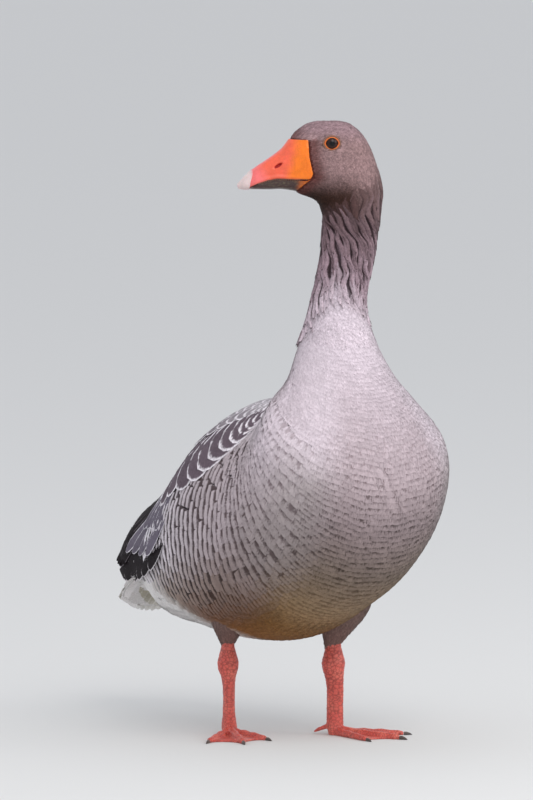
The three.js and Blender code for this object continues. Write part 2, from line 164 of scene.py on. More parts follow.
# The same for the head, with its places forward and up of the neck's top
HEAD_RIBS = [
    ("nape", -29, 6, 30, -3, 28.5, 0.5, 2),
    ("throat", -31, 28, 34, 11.5, 28, 0.5, 2),
    ("back of head", -25, 54, 38, 16, 26.5, 0.5, 2),
    ("cheeks", -13.5, 80.5, 42, 18.5, 25, 0.45, 2),
    ("crown", 4, 96.5, 47, 20.5, 23.5, 0.42, 2),
    ("brow", 25, 98.5, 52, 22, 21.5, 0.4, 2),
    ("forehead", 44, 97.5, 57, 23.8, 19, 0.36, 2),
    ("face", 60, 87.5, 63, 25.5, 16.8, 0.34, 2),
    ("bill root", 74, 70.5, 74, 27.5, 14.6, 0.3, 2.2),
    ("nostrils", 88, 60, 88, 27.5, 13, 0.3, 2.2),
    ("bill front", 103, 50, 103, 28, 11, 0.35, 2.1),
    ("nail", 112, 42.5, 112, 28, 8, 0.4, 2),
    ("bill tip", 120, 34, 119, 29, 2.4, 0.5, 2),
]
NECK_F, NECK_U = NECK_TOP
HEAD_ROWS = [
    (NECK_F + r[1], NECK_U + r[2], NECK_F + r[3], NECK_U + r[4], *r[5:], HEAD_TURN, NECK_F) for r in HEAD_RIBS
]
RIB_ROWS = np.array([r[1:] for r in BODY_RIBS] + HEAD_ROWS, float)
RIB_MIDDLES = (RIB_ROWS[:, 0:2] + RIB_ROWS[:, 2:4]) / 2
RIB_AT = np.concatenate([[0], np.cumsum(np.hypot(*np.diff(RIB_MIDDLES, axis=0).T))])
STATION = dict(zip([r[0] for r in BODY_RIBS + HEAD_RIBS], RIB_AT))


def body_loft(station, angle, grow=1.0):
    """Points of the body's surface. Angle 0 is the back, pi / 2 its left and pi the belly."""
    station, angle = paired(station, angle)
    v = track(RIB_AT, RIB_ROWS, station)
    back, belly, wide, low = v[..., 0:2], v[..., 2:4], v[..., 4], v[..., 5:6]
    centre = belly + low * (back - belly)
    along = power(np.cos(angle), v[..., 6])
    end = np.where((along > 0)[..., None], back, belly)
    middle = centre + np.abs(along)[..., None] * (end - centre) * grow
    x = power(np.sin(angle), v[..., 6]) * wide * grow
    y = v[..., 8] - middle[..., 0]
    turn = -np.radians(v[..., 7])
    turned_y = x * np.sin(turn) + y * np.cos(turn) - v[..., 8]
    return np.stack([x * np.cos(turn) - y * np.sin(turn), turned_y, middle[..., 1]], -1)


# The head's own frame: forward to the bill, up, and out to the bird's left
HEAD_ORIGIN = np.array([0, -NECK_F, NECK_U])
HEAD_YAW = -math.radians(HEAD_TURN)
HEAD_FORWARD = np.array([math.sin(HEAD_YAW), -math.cos(HEAD_YAW), 0])
HEAD_UP = np.array([0.0, 0.0, 1.0])
HEAD_LEFT = np.array([math.cos(HEAD_YAW), math.sin(HEAD_YAW), 0])
EYE = {"forward": 24.0, "up": 76.5, "out": 15.2, "radius": 8.2, "ring": 6.9}


def head_point(forward, up, out):
    return HEAD_ORIGIN + forward * HEAD_FORWARD + up * HEAD_UP + out * HEAD_LEFT


def in_head(points):
    """Forward, up and out in the head's frame."""
    d = points - HEAD_ORIGIN
    return d @ HEAD_FORWARD, d @ HEAD_UP, d @ HEAD_LEFT


def eye_centre(side):
    return head_point(EYE["forward"], EYE["up"], side * EYE["out"])


low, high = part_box("eye_right")
ROW_SHIFT = np.array((low + high) / 2) / METRES - eye_centre(RIGHT)
ROW_SHIFT[[0, 2]] = 0


def to_row(points):
    return (points + ROW_SHIFT) * METRES


def to_bird(points):
    return points / METRES - ROW_SHIFT


# ---------------------------------------------------------------- wings and tail
# Upper edge (out, forward, up), lower edge, how far the middle stands out, and thickness, from front to rear
WING_RIBS = np.array([
    (42, 76, 355, 88, 68, 326, 9, 5),
    (32, 46, 359, 106, 46, 290, 20, 14),
    (22, 0, 355, 115, 6, 257, 26, 18),
    (14, -50, 334, 110, -44, 237, 26, 18),
    (8, -100, 301, 96, -94, 208, 23, 15),
    (8, -150, 262, 79, -145, 181, 21, 12),
    (14, -190, 236, 62, -188, 167, 19, 8),
    (20, -218, 210, 51, -217, 161, 12, 5),
    (29, -241, 176, 40, -240, 162, 3, 2.5),
], float)
WING_END = len(WING_RIBS) - 1.0
# Forward, up, half-width, droop of the edges, thickness, and how far the edges trail behind the middle
TAIL_RIBS = np.array([
    (-142, 196, 34, 6, 22, 0),
    (-168, 171, 56, 3, 13, 2),
    (-192, 148, 69, 0, 8, 7),
    (-213, 128, 66, -5, 5, 13),
    (-226, 116, 54, -11, 3.5, 18),
], float)
TAIL_END = len(TAIL_RIBS) - 1.0


def wing_surface(side, u, v, depth=0.0):
    """The folded wing: u runs from front to rear, and v from its upper edge to its lower edge."""
    u, v = paired(u, v)
    r = track(np.arange(WING_END + 1), WING_RIBS, u)
    upper = np.stack([side * r[..., 0], -r[..., 1], r[..., 2]], -1)
    down = np.stack([side * r[..., 3], -r[..., 4], r[..., 5]], -1) - upper
    out = unit(np.stack([-side * down[..., 2], 0 * u, side * down[..., 0]], -1))
    arch = 4 * v * (1 - v)
    stand = arch * r[..., 6] - depth * r[..., 7] * (0.35 + 0.65 * arch)
    return upper + down * v[..., None] + out * stand[..., None]


def tail_surface(u, share, depth=0.0):
    """The tail: u runs from root to tip, share from the right edge, -1, to the left edge, 1."""
    u, share = paired(u, share)
    r = track(np.arange(TAIL_END + 1), TAIL_RIBS, u)
    up = r[..., 1] - r[..., 3] * share ** 2 - depth * r[..., 4] * (1 - 0.6 * share ** 2)
    return np.stack([share * r[..., 2], -r[..., 0] - r[..., 5] * share ** 2, up], -1)


# ---------------------------------------------------------------- legs
LEG_OUT, STRIDE = 44.0, 34.0
ANKLE_HEIGHT, CUFF_HEIGHT = 12.0, 99.0
FOOT_TURN = {LEFT: 22.0, RIGHT: -25.0}
ANKLE_LEAN = {LEFT: 0.0, RIGHT: 5.0}
# height, half-width, half-depth, how far back the middle is
THIGH_ROWS = np.array([
    (99, 8.4, 10, 2), (104, 11, 12.5, 0), (113, 15.5, 18, -3), (128, 21.5, 27, -7), (146, 24, 32, -10),
    (168, 18, 26, -6),
], float)


def leg_place(side):
    return np.array([side * LEG_OUT, -side * STRIDE, 0.0])


def thigh_surface(side, height, angle):
    """The feathered thigh. Before the foot's turn, angle 0 is to the bird's left and pi / 2 backwards."""
    height, angle = paired(height, angle)
    r = track(THIGH_ROWS[:, 0], THIGH_ROWS[:, 1:], height)
    lean = ANKLE_LEAN[side] * (height - ANKLE_HEIGHT) / (CUFF_HEIGHT - ANKLE_HEIGHT)
    turn = math.radians(FOOT_TURN[side])
    x = r[..., 0] * np.cos(angle)
    y = r[..., 1] * np.sin(angle) + r[..., 2] + lean
    turned_x = x * math.cos(turn) - y * math.sin(turn)
    turned_y = x * math.sin(turn) + y * math.cos(turn)
    return np.stack([turned_x, turned_y, height], -1) + leg_place(side)


# ---------------------------------------------------------------- meshes
def link_new(name, data):
    """A new object in the scene."""
    piece = bpy.data.objects.new(name, data)
    bpy.context.scene.collection.objects.link(piece)
    return piece


def new_object(name, points, faces):
    mesh = bpy.data.meshes.new(name)
    mesh.from_pydata([tuple(p) for p in to_row(points)], [], [tuple(f) for f in faces])
    mesh.polygons.foreach_set("use_smooth", np.ones(len(mesh.polygons), bool))
    mesh.update()
    return link_new(name, mesh)


def loft_faces(rings, corners):
    """Faces of a closed loft over rings of corners, whose two end rings are closed by one polygon each."""
    r, i = np.meshgrid(np.arange(rings - 1), np.arange(corners), indexing="ij")
    a, b = r * corners + i, r * corners + (i + 1) % corners
    sides = np.stack([a, b, b + corners, a + corners], -1).reshape(-1, 4).tolist()
    return sides + [list(range(corners))[::-1], list(range((rings - 1) * corners, rings * corners))]


def loft_object(name, rings):
    rings = np.asarray(rings)
    return new_object(name, rings.reshape(-1, 3), loft_faces(rings.shape[0], rings.shape[1]))


def fix_normals(piece):
    work = bmesh.new()
    work.from_mesh(piece.data)
    bmesh.ops.recalc_face_normals(work, faces=work.faces)
    work.to_mesh(piece.data)
    work.free()


def apply_modifiers(piece):
    shown = piece.evaluated_get(bpy.context.evaluated_depsgraph_get())
    mesh = bpy.data.meshes.new_from_object(shown)
    piece.modifiers.clear()
    old = piece.data
    piece.data = mesh
    bpy.data.meshes.remove(old)


def fuse(name, parts, voxel, rounds):
    """One closed smooth skin over several closed parts, which are used up."""
    work = bmesh.new()
    for part in parts:
        work.from_mesh(part.data)
        bpy.data.objects.remove(part)
    mesh = bpy.data.meshes.new(name)
    work.to_mesh(mesh)
    work.free()
    piece = link_new(name, mesh)
    fix_normals(piece)
    remesh = piece.modifiers.new("fuse", "REMESH")
    remesh.mode = "VOXEL"
    remesh.voxel_size = voxel * METRES
    remesh.use_smooth_shade = True
    relax = piece.modifiers.new("relax", "SMOOTH")
    relax.factor = 0.5
    relax.iterations = rounds
    apply_modifiers(piece)
    return piece


def vectors_of(collection, key):
    flat = np.empty(len(collection) * 3, np.float32)
    collection.foreach_get(key, flat)
    return flat.reshape(-1, 3).astype(float)


def points_of(piece):
    return to_bird(vectors_of(piece.data.vertices, "co"))


def normals_of(piece):
    return vectors_of(piece.data.vertex_normals, "vector")


def move_points(piece, points):
    piece.data.vertices.foreach_set("co", to_row(points).astype(np.float32).ravel())
    piece.data.update()


def paint(mesh, name, values, kind="FLOAT_COLOR"):
    """Stores a value for each vertex, which the materials read."""
    layer = mesh.attributes.new(name, kind, "POINT")
    values = np.asarray(values, np.float32)
    if kind == "FLOAT_COLOR" and values.shape[-1] == 3:
        values = np.concatenate([values, np.ones((len(values), 1), np.float32)], -1)
    key = {"FLOAT_COLOR": "color", "FLOAT_VECTOR": "vector", "FLOAT": "value"}[kind]
    layer.data.foreach_set(key, values.ravel())


def paint_tone(piece, tone):
    """Stores the colours of horn or bare skin: one for each vertex, or one for the whole piece."""
    paint(piece.data, "tone", np.broadcast_to(tone, (len(piece.data.vertices), 3)))


def kd_tree(points):
    tree = KDTree(len(points))
    for n, p in enumerate(points):
        tree.insert(p, n)
    tree.balance()
    return tree


# ---------------------------------------------------------------- charts: surfaces with two coordinates
class Chart:
    """A grid of surface points, with u from row to row and v from column to column.

    Feathers point to higher u where flow is 1, and to lower u where it is -1. least_u and least_v are the
    least millimetres for each unit of u and v.
    """

    def __init__(self, points, u_range, v_range, cyclic, outward, flow, least_u=0.3, least_v=8.0):
        self.points = points
        self.least_u, self.least_v = least_u, least_v
        self.u0, self.u1 = u_range
        self.v0, self.v1 = v_range
        self.rows, self.columns = points.shape[:2]
        self.cyclic = cyclic
        self.flow = flow
        self.u_step = (self.u1 - self.u0) / (self.rows - 1)
        self.v_step = (self.v1 - self.v0) / (self.columns if cyclic else self.columns - 1)
        self.du = np.gradient(points, axis=0) / self.u_step
        if cyclic:
            wide = np.concatenate([points[:, -1:], points, points[:, :1]], 1)
            self.dv = (wide[:, 2:] - wide[:, :-2]) / (2 * self.v_step)
        else:
            self.dv = np.gradient(points, axis=1) / self.v_step
        normal = unit(np.cross(self.du, self.dv))
        facing = np.sign((normal * outward).sum(-1, keepdims=True))
        self.normals = normal * np.where(facing == 0, 1, facing)

    def at(self, grid, u, v):
        """Values of a grid at places on the chart, blended between its four nearest points."""
        x = (np.asarray(u) - self.u0) / self.u_step
        y = (np.asarray(v) - self.v0) / self.v_step
        i = np.clip(np.floor(x).astype(int), 0, self.rows - 2)
        fx = x - i
        if self.cyclic:
            j = np.floor(y).astype(int)
            fy = y - j
            j0, j1 = j % self.columns, (j + 1) % self.columns
        else:
            j0 = np.clip(np.floor(y).astype(int), 0, self.columns - 2)
            fy = y - j0
            j1 = j0 + 1
        if grid.ndim == 3:
            fx, fy = fx[..., None], fy[..., None]
        top = grid[i, j0] * (1 - fy) + grid[i, j1] * fy
        return top * (1 - fx) + (grid[i + 1, j0] * (1 - fy) + grid[i + 1, j1] * fy) * fx

    def scales(self, u, v, length):
        """Millimetres for each unit of u and of v, averaged over a vane of that length."""
        per_u = np.maximum(np.linalg.norm(self.at(self.du, u, v), axis=-1), self.least_u)
        for _ in range(2):
            ends = np.clip(u + self.flow * length / per_u, self.u0, self.u1)
            places = [u + (ends - u) * s for s in (0, 0.33, 0.67, 1)]
            steps = [np.linalg.norm(self.at(self.du, place, v), axis=-1) for place in places]
            per_u = np.maximum(sum(steps) / len(steps), self.least_u)
        per_v = np.linalg.norm(self.at(self.dv, (u + ends) / 2, v), axis=-1)
        return per_u, np.maximum(per_v, self.least_v)

    def place(self, u, v):
        return self.at(self.points, u, v)

    def normal(self, u, v):
        return unit(self.at(self.normals, u, v))


def round_chart(points, u_range, outward, **limits):
    """A chart all the way round, with feathers that point to lower u."""
    return Chart(points, u_range, (0, FULL_TURN), True, outward, -1, **limits)


# ---------------------------------------------------------------- body shape as one smooth skin
BODY_END = STATION["bill root"]


def body_part(corners=96, step=4.0):
    stations = np.arange(0, BODY_END, step)
    return loft_object("body_part", body_loft(stations[:, None], around(corners)[None, :]))


# A folded wing's depth under its surface, as a share of its thickness, from its middle to its end
WING_DEPTH = ([5.0, 6.6], [3.2, 1.0])


def shell_part(name, surface, u, v, depth):
    """A closed form between a surface and the same surface at a depth."""
    return loft_object(name, np.concatenate([surface(u, v), surface(u, v[:, ::-1], depth)], 1))


def wing_part(side):
    u, v = np.linspace(0, WING_END, 64)[:, None], np.linspace(0, 1, 20)[None, :]
    return shell_part("wing_part", partial(wing_surface, side), u, v, np.interp(u, *WING_DEPTH))


def tail_part():
    u, share = np.linspace(0, TAIL_END, 32)[:, None], np.linspace(-1, 1, 24)[None, :]
    return shell_part("tail_part", tail_surface, u, share, 1.0)


def thigh_part(side, steps=24, corners=32):
    height = np.linspace(CUFF_HEIGHT + 0.5, 165, steps)[:, None]
    return loft_object("thigh_part", thigh_surface(side, height, around(corners)[None, :]))


SKIN_VOXEL, SKIN_ROUNDS = 2.4, 8
outer_parts = [body_part(), wing_part(LEFT), wing_part(RIGHT), tail_part()]
outer_form = fuse("outer_form", outer_parts, SKIN_VOXEL, SKIN_ROUNDS)


# ---------------------------------------------------------------- the body chart
CHART_STEP = 2.0
CHART_CORNERS = 288
# Where the rays start, as a share of the loft's distance from its middle
FAR_OUT = 2.2


def cast_chart():
    """The body chart, found by looking in at the fused form from all round each slice."""
    stations = np.arange(0, BODY_END + CHART_STEP, CHART_STEP)
    angles = around(CHART_CORNERS)
    loft = body_loft(stations[:, None], angles[None, :])
    centre = body_loft(stations[:, None], angles[None, :], grow=0.0)
    start = centre + (loft - centre) * FAR_OUT
    tree = BVHTree.FromObject(outer_form, bpy.context.evaluated_depsgraph_get())
    found = loft.reshape(-1, 3).copy()
    for n, (a, b) in enumerate(zip(to_row(start.reshape(-1, 3)), to_row(centre.reshape(-1, 3)))):
        hit = tree.ray_cast(Vector(a), Vector(b - a))[0]
        if hit is not None:
            found[n] = to_bird(np.array(hit))
    return round_chart(found.reshape(loft.shape), (0, stations[-1]), loft - centre), loft, centre


body, plain_loft, plain_centre = cast_chart()
body_u = np.linspace(body.u0, body.u1, body.rows)[:, None] * np.ones((1, body.columns))
body_v = np.ones((body.rows, 1)) * (np.arange(body.columns) * body.v_step)[None, :]


def fold(angle):
    """Degrees from the back line, 0, to the belly line, 180, on either side."""
    turn = np.degrees(np.asarray(angle)) % 360
    return np.minimum(turn, 360 - turn)


# The chart lies on a wing where it stands out this far from the body, behind the wing's front
WING_PROUD, WING_FRONT = 1.2, 78
OFF_WING = 2.0


def wing_share():
    """How far down the wing each chart point lies, 0 at its upper edge to 1 at its lower edge, and its u."""
    forward = -body.points[..., 1]
    order = WING_RIBS[::-1]
    u = np.interp(forward, order[:, 1], np.arange(WING_END, -1, -1))
    r = track(np.arange(WING_END + 1), WING_RIBS, u)
    across = np.abs(body.points[..., 0]) - r[..., 0]
    down = body.points[..., 2] - r[..., 2]
    run, drop = r[..., 3] - r[..., 0], r[..., 5] - r[..., 2]
    share = (across * run + down * drop) / (run ** 2 + drop ** 2)
    proud = np.linalg.norm(body.points - plain_loft, axis=-1)
    lifted = (proud > WING_PROUD) & (forward < WING_FRONT)
    return np.where(lifted, np.clip(share, 0, 1), OFF_WING), u


on_wing, wing_u = wing_share()

# Where the flank's feathers begin to cover the wing, from its upper edge, 0, to its lower edge, 1
COVER_FROM = (
    [0, 0.3, 0.45, 0.66, 0.94, 1.25, 1.9, 2.7, 3.3, 3.9, 4.2, 4.35],
    [0.72, 0.76, 0.79, 0.83, 0.86, 0.9, 0.92, 0.9, 0.87, 0.84, 0.9, 1.3],
)
# How much the fill falls for each column of the chart, as a share of the radius, and for how many columns
FILL_SLOPE = 0.0058
FILL_REACH = 25


def filled_under_wing():
    """The body chart with the step under each wing filled by a gentle slope, as the flank's feathers do."""
    radius = np.linalg.norm(plain_loft - plain_centre, axis=-1)
    reach = np.linalg.norm(body.points - plain_centre, axis=-1) / radius
    full = reach.copy()
    for k in range(1, FILL_REACH + 1):
        for way in (-k, k):
            full = np.maximum(full, np.roll(reach, way, 1) - FILL_SLOPE * k)
    full = np.maximum(full, 1.0)
    soft = full
    for _ in range(3):
        soft = sum(np.roll(soft, k, 1) for k in (-2, -1, 0, 1, 2)) / 5
        soft = (np.roll(soft, 2, 0) + np.roll(soft, -2, 0) + soft) / 3
    # Only on the flank, between the tail and the breast, and where its feathers cover the wing
    b = fold(body_v)
    on_flank = smooth(36, 56, b) * (1 - smooth(118, 134, b))
    between = smooth(36, 60, body_u) * (1 - smooth(300, 345, body_u))
    covering = smooth(-0.02, 0.06, on_wing - np.interp(wing_u, *COVER_FROM))
    share = on_flank * between * covering
    new = reach + (np.maximum(soft, reach) - reach) * share
    points = plain_centre + (plain_loft - plain_centre) * new[..., None]
    return round_chart(points, (body.u0, body.u1), plain_loft - plain_centre)


body = filled_under_wing()


# ---------------------------------------------------------------- furrows of the neck
FURROWS = 26
FURROW_DEPTH = 2.6
# How far a furrow wanders to either side, as a share of the way to the next
FURROW_WOBBLE = 1.0
# Stations by the angle from the back line: where the pale bib meets the brown neck, and where the furrows end
BIB_LINE = ([0, 60, 100, 130, 160, 180], [484, 502, 521, 537, 549, 556])
FURROW_TOP = ([0, 60, 120, 180], [668, 664, 656, 640])
# Degrees from the back line below which the rear of the body is white, by station
VENT_LINE = ([20, 60, 107, 156, 206, 240], [86, 101, 124, 140, 152, 182])


def furrow_strength(station, angle):
    """0 where the neck is smooth, and 1 where its furrows are full."""
    b = fold(angle)
    start = np.interp(b, *BIB_LINE) - 4
    top = np.interp(b, *FURROW_TOP)
    return smooth(0, 22, station - start) * (1 - smooth(-16, 4, station - top))


def furrow_grids():
    """How deep the neck's furrows are over the body chart, 0 to 1, and how far they wander to either side."""
    spots = zip(body_u.ravel(), body_v.ravel())
    wobble = np.array([noise.noise(Vector((s / 15, 3 * math.cos(a), 3 * math.sin(a)))) for s, a in spots])
    wobble = wobble.reshape(body_u.shape)
    phase = body_v / FULL_TURN * FURROWS + FURROW_WOBBLE * wobble
    groove = 1 - np.abs(np.sin(math.pi * phase)) ** 0.7
    return groove * furrow_strength(body_u, body_v), wobble


# The breast's radius where its feathers part, and the station where the parting crosses the middle
BREAST_RADIUS, PARTING_FOOT = 105, 386


def parting_depth():
    """The soft parting of the feathers down the middle of the upper breast, in millimetres."""
    aside = (body_v - math.pi) * BREAST_RADIUS - 0.9 * (body_u - PARTING_FOOT) + 2 * np.sin(body_u / 7)
    along = smooth(376, 390, body_u) * (1 - smooth(404, 424, body_u))
    return along * (1.2 * bell(aside, 3) - 1.1 * bell(aside + 8, 6) - 0.5 * bell(aside - 8, 6))


furrows, furrow_wobble = furrow_grids()
body_smooth = body
hollows = furrows * FURROW_DEPTH + parting_depth()
body = round_chart(body.points - body.normals * hollows[..., None], (body.u0, body.u1), body.normals)


# ---------------------------------------------------------------- markings
# Colours along the body, by station: the feathers' dark middles and their pale fringes
FRONT_DARK = [
    (0, (226, 222, 220)), (90, (226, 222, 219)), (130, (196, 180, 164)), (170, (136, 86, 40)),
    (225, (134, 84, 36)), (270, (120, 84, 42)), (300, (132, 106, 78)), (340, (76, 63, 55)),
    (375, (92, 78, 79)), (405, (132, 116, 119)), (430, (170, 152, 157)), (470, (204, 188, 196)),
    (500, (220, 205, 214)), (560, (230, 216, 226)),
]
FRONT_PALE = [
    (0, (235, 232, 230)), (90, (234, 231, 229)), (130, (214, 202, 190)), (170, (150, 98, 46)),
    (225, (149, 98, 44)), (270, (136, 97, 52)), (300, (158, 131, 98)), (340, (132, 116, 105)),
    (375, (153, 137, 139)), (405, (186, 169, 174)), (430, (196, 180, 186)), (470, (213, 198, 206)),
    (500, (225, 211, 220)), (560, (234, 221, 231)),
]
FLANK_DARK = [
    (0, (48, 41, 47)), (60, (44, 37, 43)), (120, (56, 47, 53)), (180, (74, 62, 66)),
    (240, (90, 76, 78)), (300, (106, 90, 93)), (340, (122, 106, 111)), (385, (156, 140, 147)),
    (415, (188, 173, 180)), (445, (212, 198, 206)), (560, (222, 208, 218)),
]
FLANK_PALE = [
    (0, (236, 232, 238)), (60, (236, 232, 238)), (120, (226, 220, 227)), (180, (206, 196, 202)),
    (240, (190, 177, 182)), (300, (188, 174, 179)), (340, (196, 182, 187)), (400, (218, 205, 213)),
    (440, (223, 209, 217)), (560, (228, 215, 224)),
]
BACK_DARK = [
    (0, (226, 222, 220)), (40, (214, 208, 206)), (80, (118, 108, 110)), (200, (92, 78, 80)),
    (290, (78, 64, 68)), (370, (86, 71, 75)), (400, (112, 96, 99)), (440, (150, 133, 138)),
    (470, (128, 109, 113)), (560, (112, 92, 98)),
]
BACK_PALE = [
    (0, (236, 233, 231)), (40, (226, 222, 220)), (80, (176, 168, 172)), (200, (196, 186, 192)),
    (290, (214, 204, 210)), (370, (208, 198, 205)), (400, (196, 184, 191)), (440, (186, 171, 178)),
    (470, (150, 132, 136)), (560, (128, 108, 112)),
]
DARK_STOPS = (FRONT_DARK, FLANK_DARK, BACK_DARK)
PALE_STOPS = (FRONT_PALE, FLANK_PALE, BACK_PALE)
# The neck's browns by station; the darkest, just under the head, are painted shadow of the head over the
# neck's own brown
NECK_TONES = [
    (500, (194, 170, 181)), (560, (176, 152, 163)), (605, (152, 127, 135)), (632, (84, 60, 60)),
    (652, (70, 50, 50)),
]
# The furrows' colour: the dark bases of the neck's feathers, deepened as painted shade in the grooves
FURROW_BASE_AND_SHADE, WHITE_VENT = colour(58, 42, 46), colour(232, 229, 228)
CROWN_COLOUR, CHEEK_COLOUR = colour(149, 123, 128), colour(150, 122, 122)
# The chin's colour is painted shadow under the jaw
LORES_COLOUR, CHIN_SHADOW_COLOUR = colour(90, 44, 40), colour(48, 26, 16)
# How much darker the low rear of the flank and the lower breast are, in red, green and blue: painted shade,
# over their own darker plumage
REAR_SHADE = np.array([0.52, 0.59, 0.66])
BREAST_SHADE = np.array([0.36, 0.36, 0.40])


def by_region(values, b):
    """Values for the front and belly, the flank and the back, blended by the angle from the back line."""
    front, flank, back = values
    to_flank, to_back = 1 - smooth(118, 150, b), 1 - smooth(42, 66, b)
    if np.ndim(front) > np.ndim(b):
        to_flank, to_back = to_flank[..., None], to_back[..., None]
    return (front * (1 - to_flank) + flank * to_flank) * (1 - to_back) + back * to_back


def markings(station, angle):
    """The dark middle and the pale fringe of a feather at a place on the body chart."""
    b = fold(angle)
    dark = by_region([ramp(stops, station) for stops in DARK_STOPS], b)
    pale = by_region([ramp(stops, station) for stops in PALE_STOPS], b)
    # The low rear of the flank and the lower breast are darker, as painted shade, and the shoulder's lines
    # stand out more
    rear = smooth(92, 122, b) * (1 - smooth(132, 160, b)) * smooth(60, 110, station)
    rear = rear * (1 - smooth(250, 330, station))
    lower = smooth(76, 118, b) * (1 - 0.8 * smooth(126, 150, b)) * smooth(270, 310, station)
    lower = lower * (1 - smooth(385, 425, station))
    for share, depth in ((rear, REAR_SHADE), (lower, BREAST_SHADE)):
        shade = 1 - share[..., None] * depth
        dark, pale = dark * shade, pale * shade
    shoulder = (1 - smooth(58, 96, b)) * smooth(40, 50, b) * smooth(240, 290, station)
    shoulder = (shoulder * (1 - smooth(390, 440, station)))[..., None]
    dark, pale = dark * (1 - 0.45 * shoulder), pale * (1 + 0.08 * shoulder)
    white = smooth(-6, 8, b - np.interp(station, *VENT_LINE)) * (1 - smooth(190, 232, station))
    dark, pale = mix(dark, WHITE_VENT * 0.96, white), mix(pale, WHITE_VENT, white)
    brown = smooth(-12, 20, station - np.interp(b, *BIB_LINE))
    neck = head_colour(station, angle)
    # The tips of the neck's feathers are a little paler, and those of the head's paler still, as painted
    # highlights of their wet tips
    pale_tips_and_glints = 1.08 + 0.24 * smooth(640, 668, station)[..., None]
    return mix(dark, neck, brown), mix(pale, neck * pale_tips_and_glints, brown)


def head_colour(station, angle):
    """The neck's brown, which turns into the head's own shades."""
    points = body_smooth.place(station, angle)
    forward, up, _ = in_head(points)
    b = fold(angle)
    shade = ramp(NECK_TONES, station)
    face = mix(CHEEK_COLOUR, CROWN_COLOUR, smooth(74, 92, up))
    # Low on the head, under the jaw, the face turns to painted shadow
    face = mix(face, CHIN_SHADOW_COLOUR, (1 - smooth(20, 52, up)) * smooth(-18, 8, forward))
    near_bill = 1 - smooth(1, 17, face_line(up) - forward)
    face = mix(face, LORES_COLOUR, near_bill * 0.9)
    nape = 1 - smooth(25, 75, b)
    shade = mix(shade, shade * 0.9, nape)
    face = mix(face, face * 0.9, nape * (1 - smooth(60, 85, up)))
    shade = mix(shade, face, smooth(640, 664, station))
    # The furrows darken the neck: the feathers' dark bases, with painted shade in the grooves
    groove = body.at(furrows, station, angle)
    return mix(shade, FURROW_BASE_AND_SHADE, smooth(0.25, 0.85, groove) * 0.85)


# The edge of the feathering on the face: heights over the neck's top, and how far forward of it the edge is
FACE_EDGE = ([0, 24.5, 32.5, 41, 62, 79.5, 80, 110], [66, 61, 53, 43, 47.5, 48, 67, 67])


def face_line(up):
    return np.interp(up, *FACE_EDGE)


# ---------------------------------------------------------------- feathers
# Outlines of vanes: shares of the length, and the half-width there
BROAD = {"at": (0.35, 0.75, 0.965), "wide": (0.8, 1.0, 0.9)}
ROUND = {"at": (0.35, 0.72, 0.93), "wide": (0.78, 1.0, 0.64)}
SOFT = {"at": (0.3, 0.62, 0.88), "wide": (0.85, 1.0, 0.55)}
LONG = {"at": (0.1, 0.3, 0.5, 0.7, 0.84, 0.93, 0.98), "wide": (0.7, 0.9, 1.0, 0.97, 0.85, 0.6, 0.32)}
STRAND = {
    "at": (0.06, 0.16, 0.3, 0.44, 0.58, 0.7, 0.82, 0.92), "wide": (0.6, 0.85, 1.0, 1.0, 1.0, 0.95, 0.8, 0.5),
}
# The size of each feather's patch on the unwrap, and the unwrap's border
PATCH, BORDER = 0.003, 0.01


def vane_template(shape, across):
    """Corners of one closed vane as (t, w, share of the half-width, underside) and its triangles."""
    at, half = np.array(shape["at"]), np.array(shape["wide"])
    top = np.linspace(-1, 1, across)
    under = top[-2:0:-1] if across > 3 else top[:0]
    ring_w, ring_low = np.concatenate([top, under]), np.concatenate([0 * top, 0 * under + 1])
    ring, count = len(ring_w), len(at)
    t = np.concatenate([[0.0], np.repeat(at, ring), [1.0]])
    w = np.concatenate([[0.0], np.tile(ring_w, count), [0.0]])
    scale = np.concatenate([[0.0], np.repeat(half, ring), [0.0]])
    low = np.concatenate([[0.0], np.tile(ring_low, count), [0.0]])
    faces = []
    last = 1 + (count - 1) * ring
    for i in range(ring):
        j = (i + 1) % ring
        faces += [(0, 1 + i, 1 + j), (last + i, 1 + count * ring, last + j)]
        for k in range(count - 1):
            a, b = 1 + k * ring + i, 1 + k * ring + j
            faces += [(a, a + ring, b + ring), (a, b + ring, b)]
    top = np.arange(len(faces)) < (across - 1) * len(faces) // ring
    return t, w, scale, low, np.array(faces), top


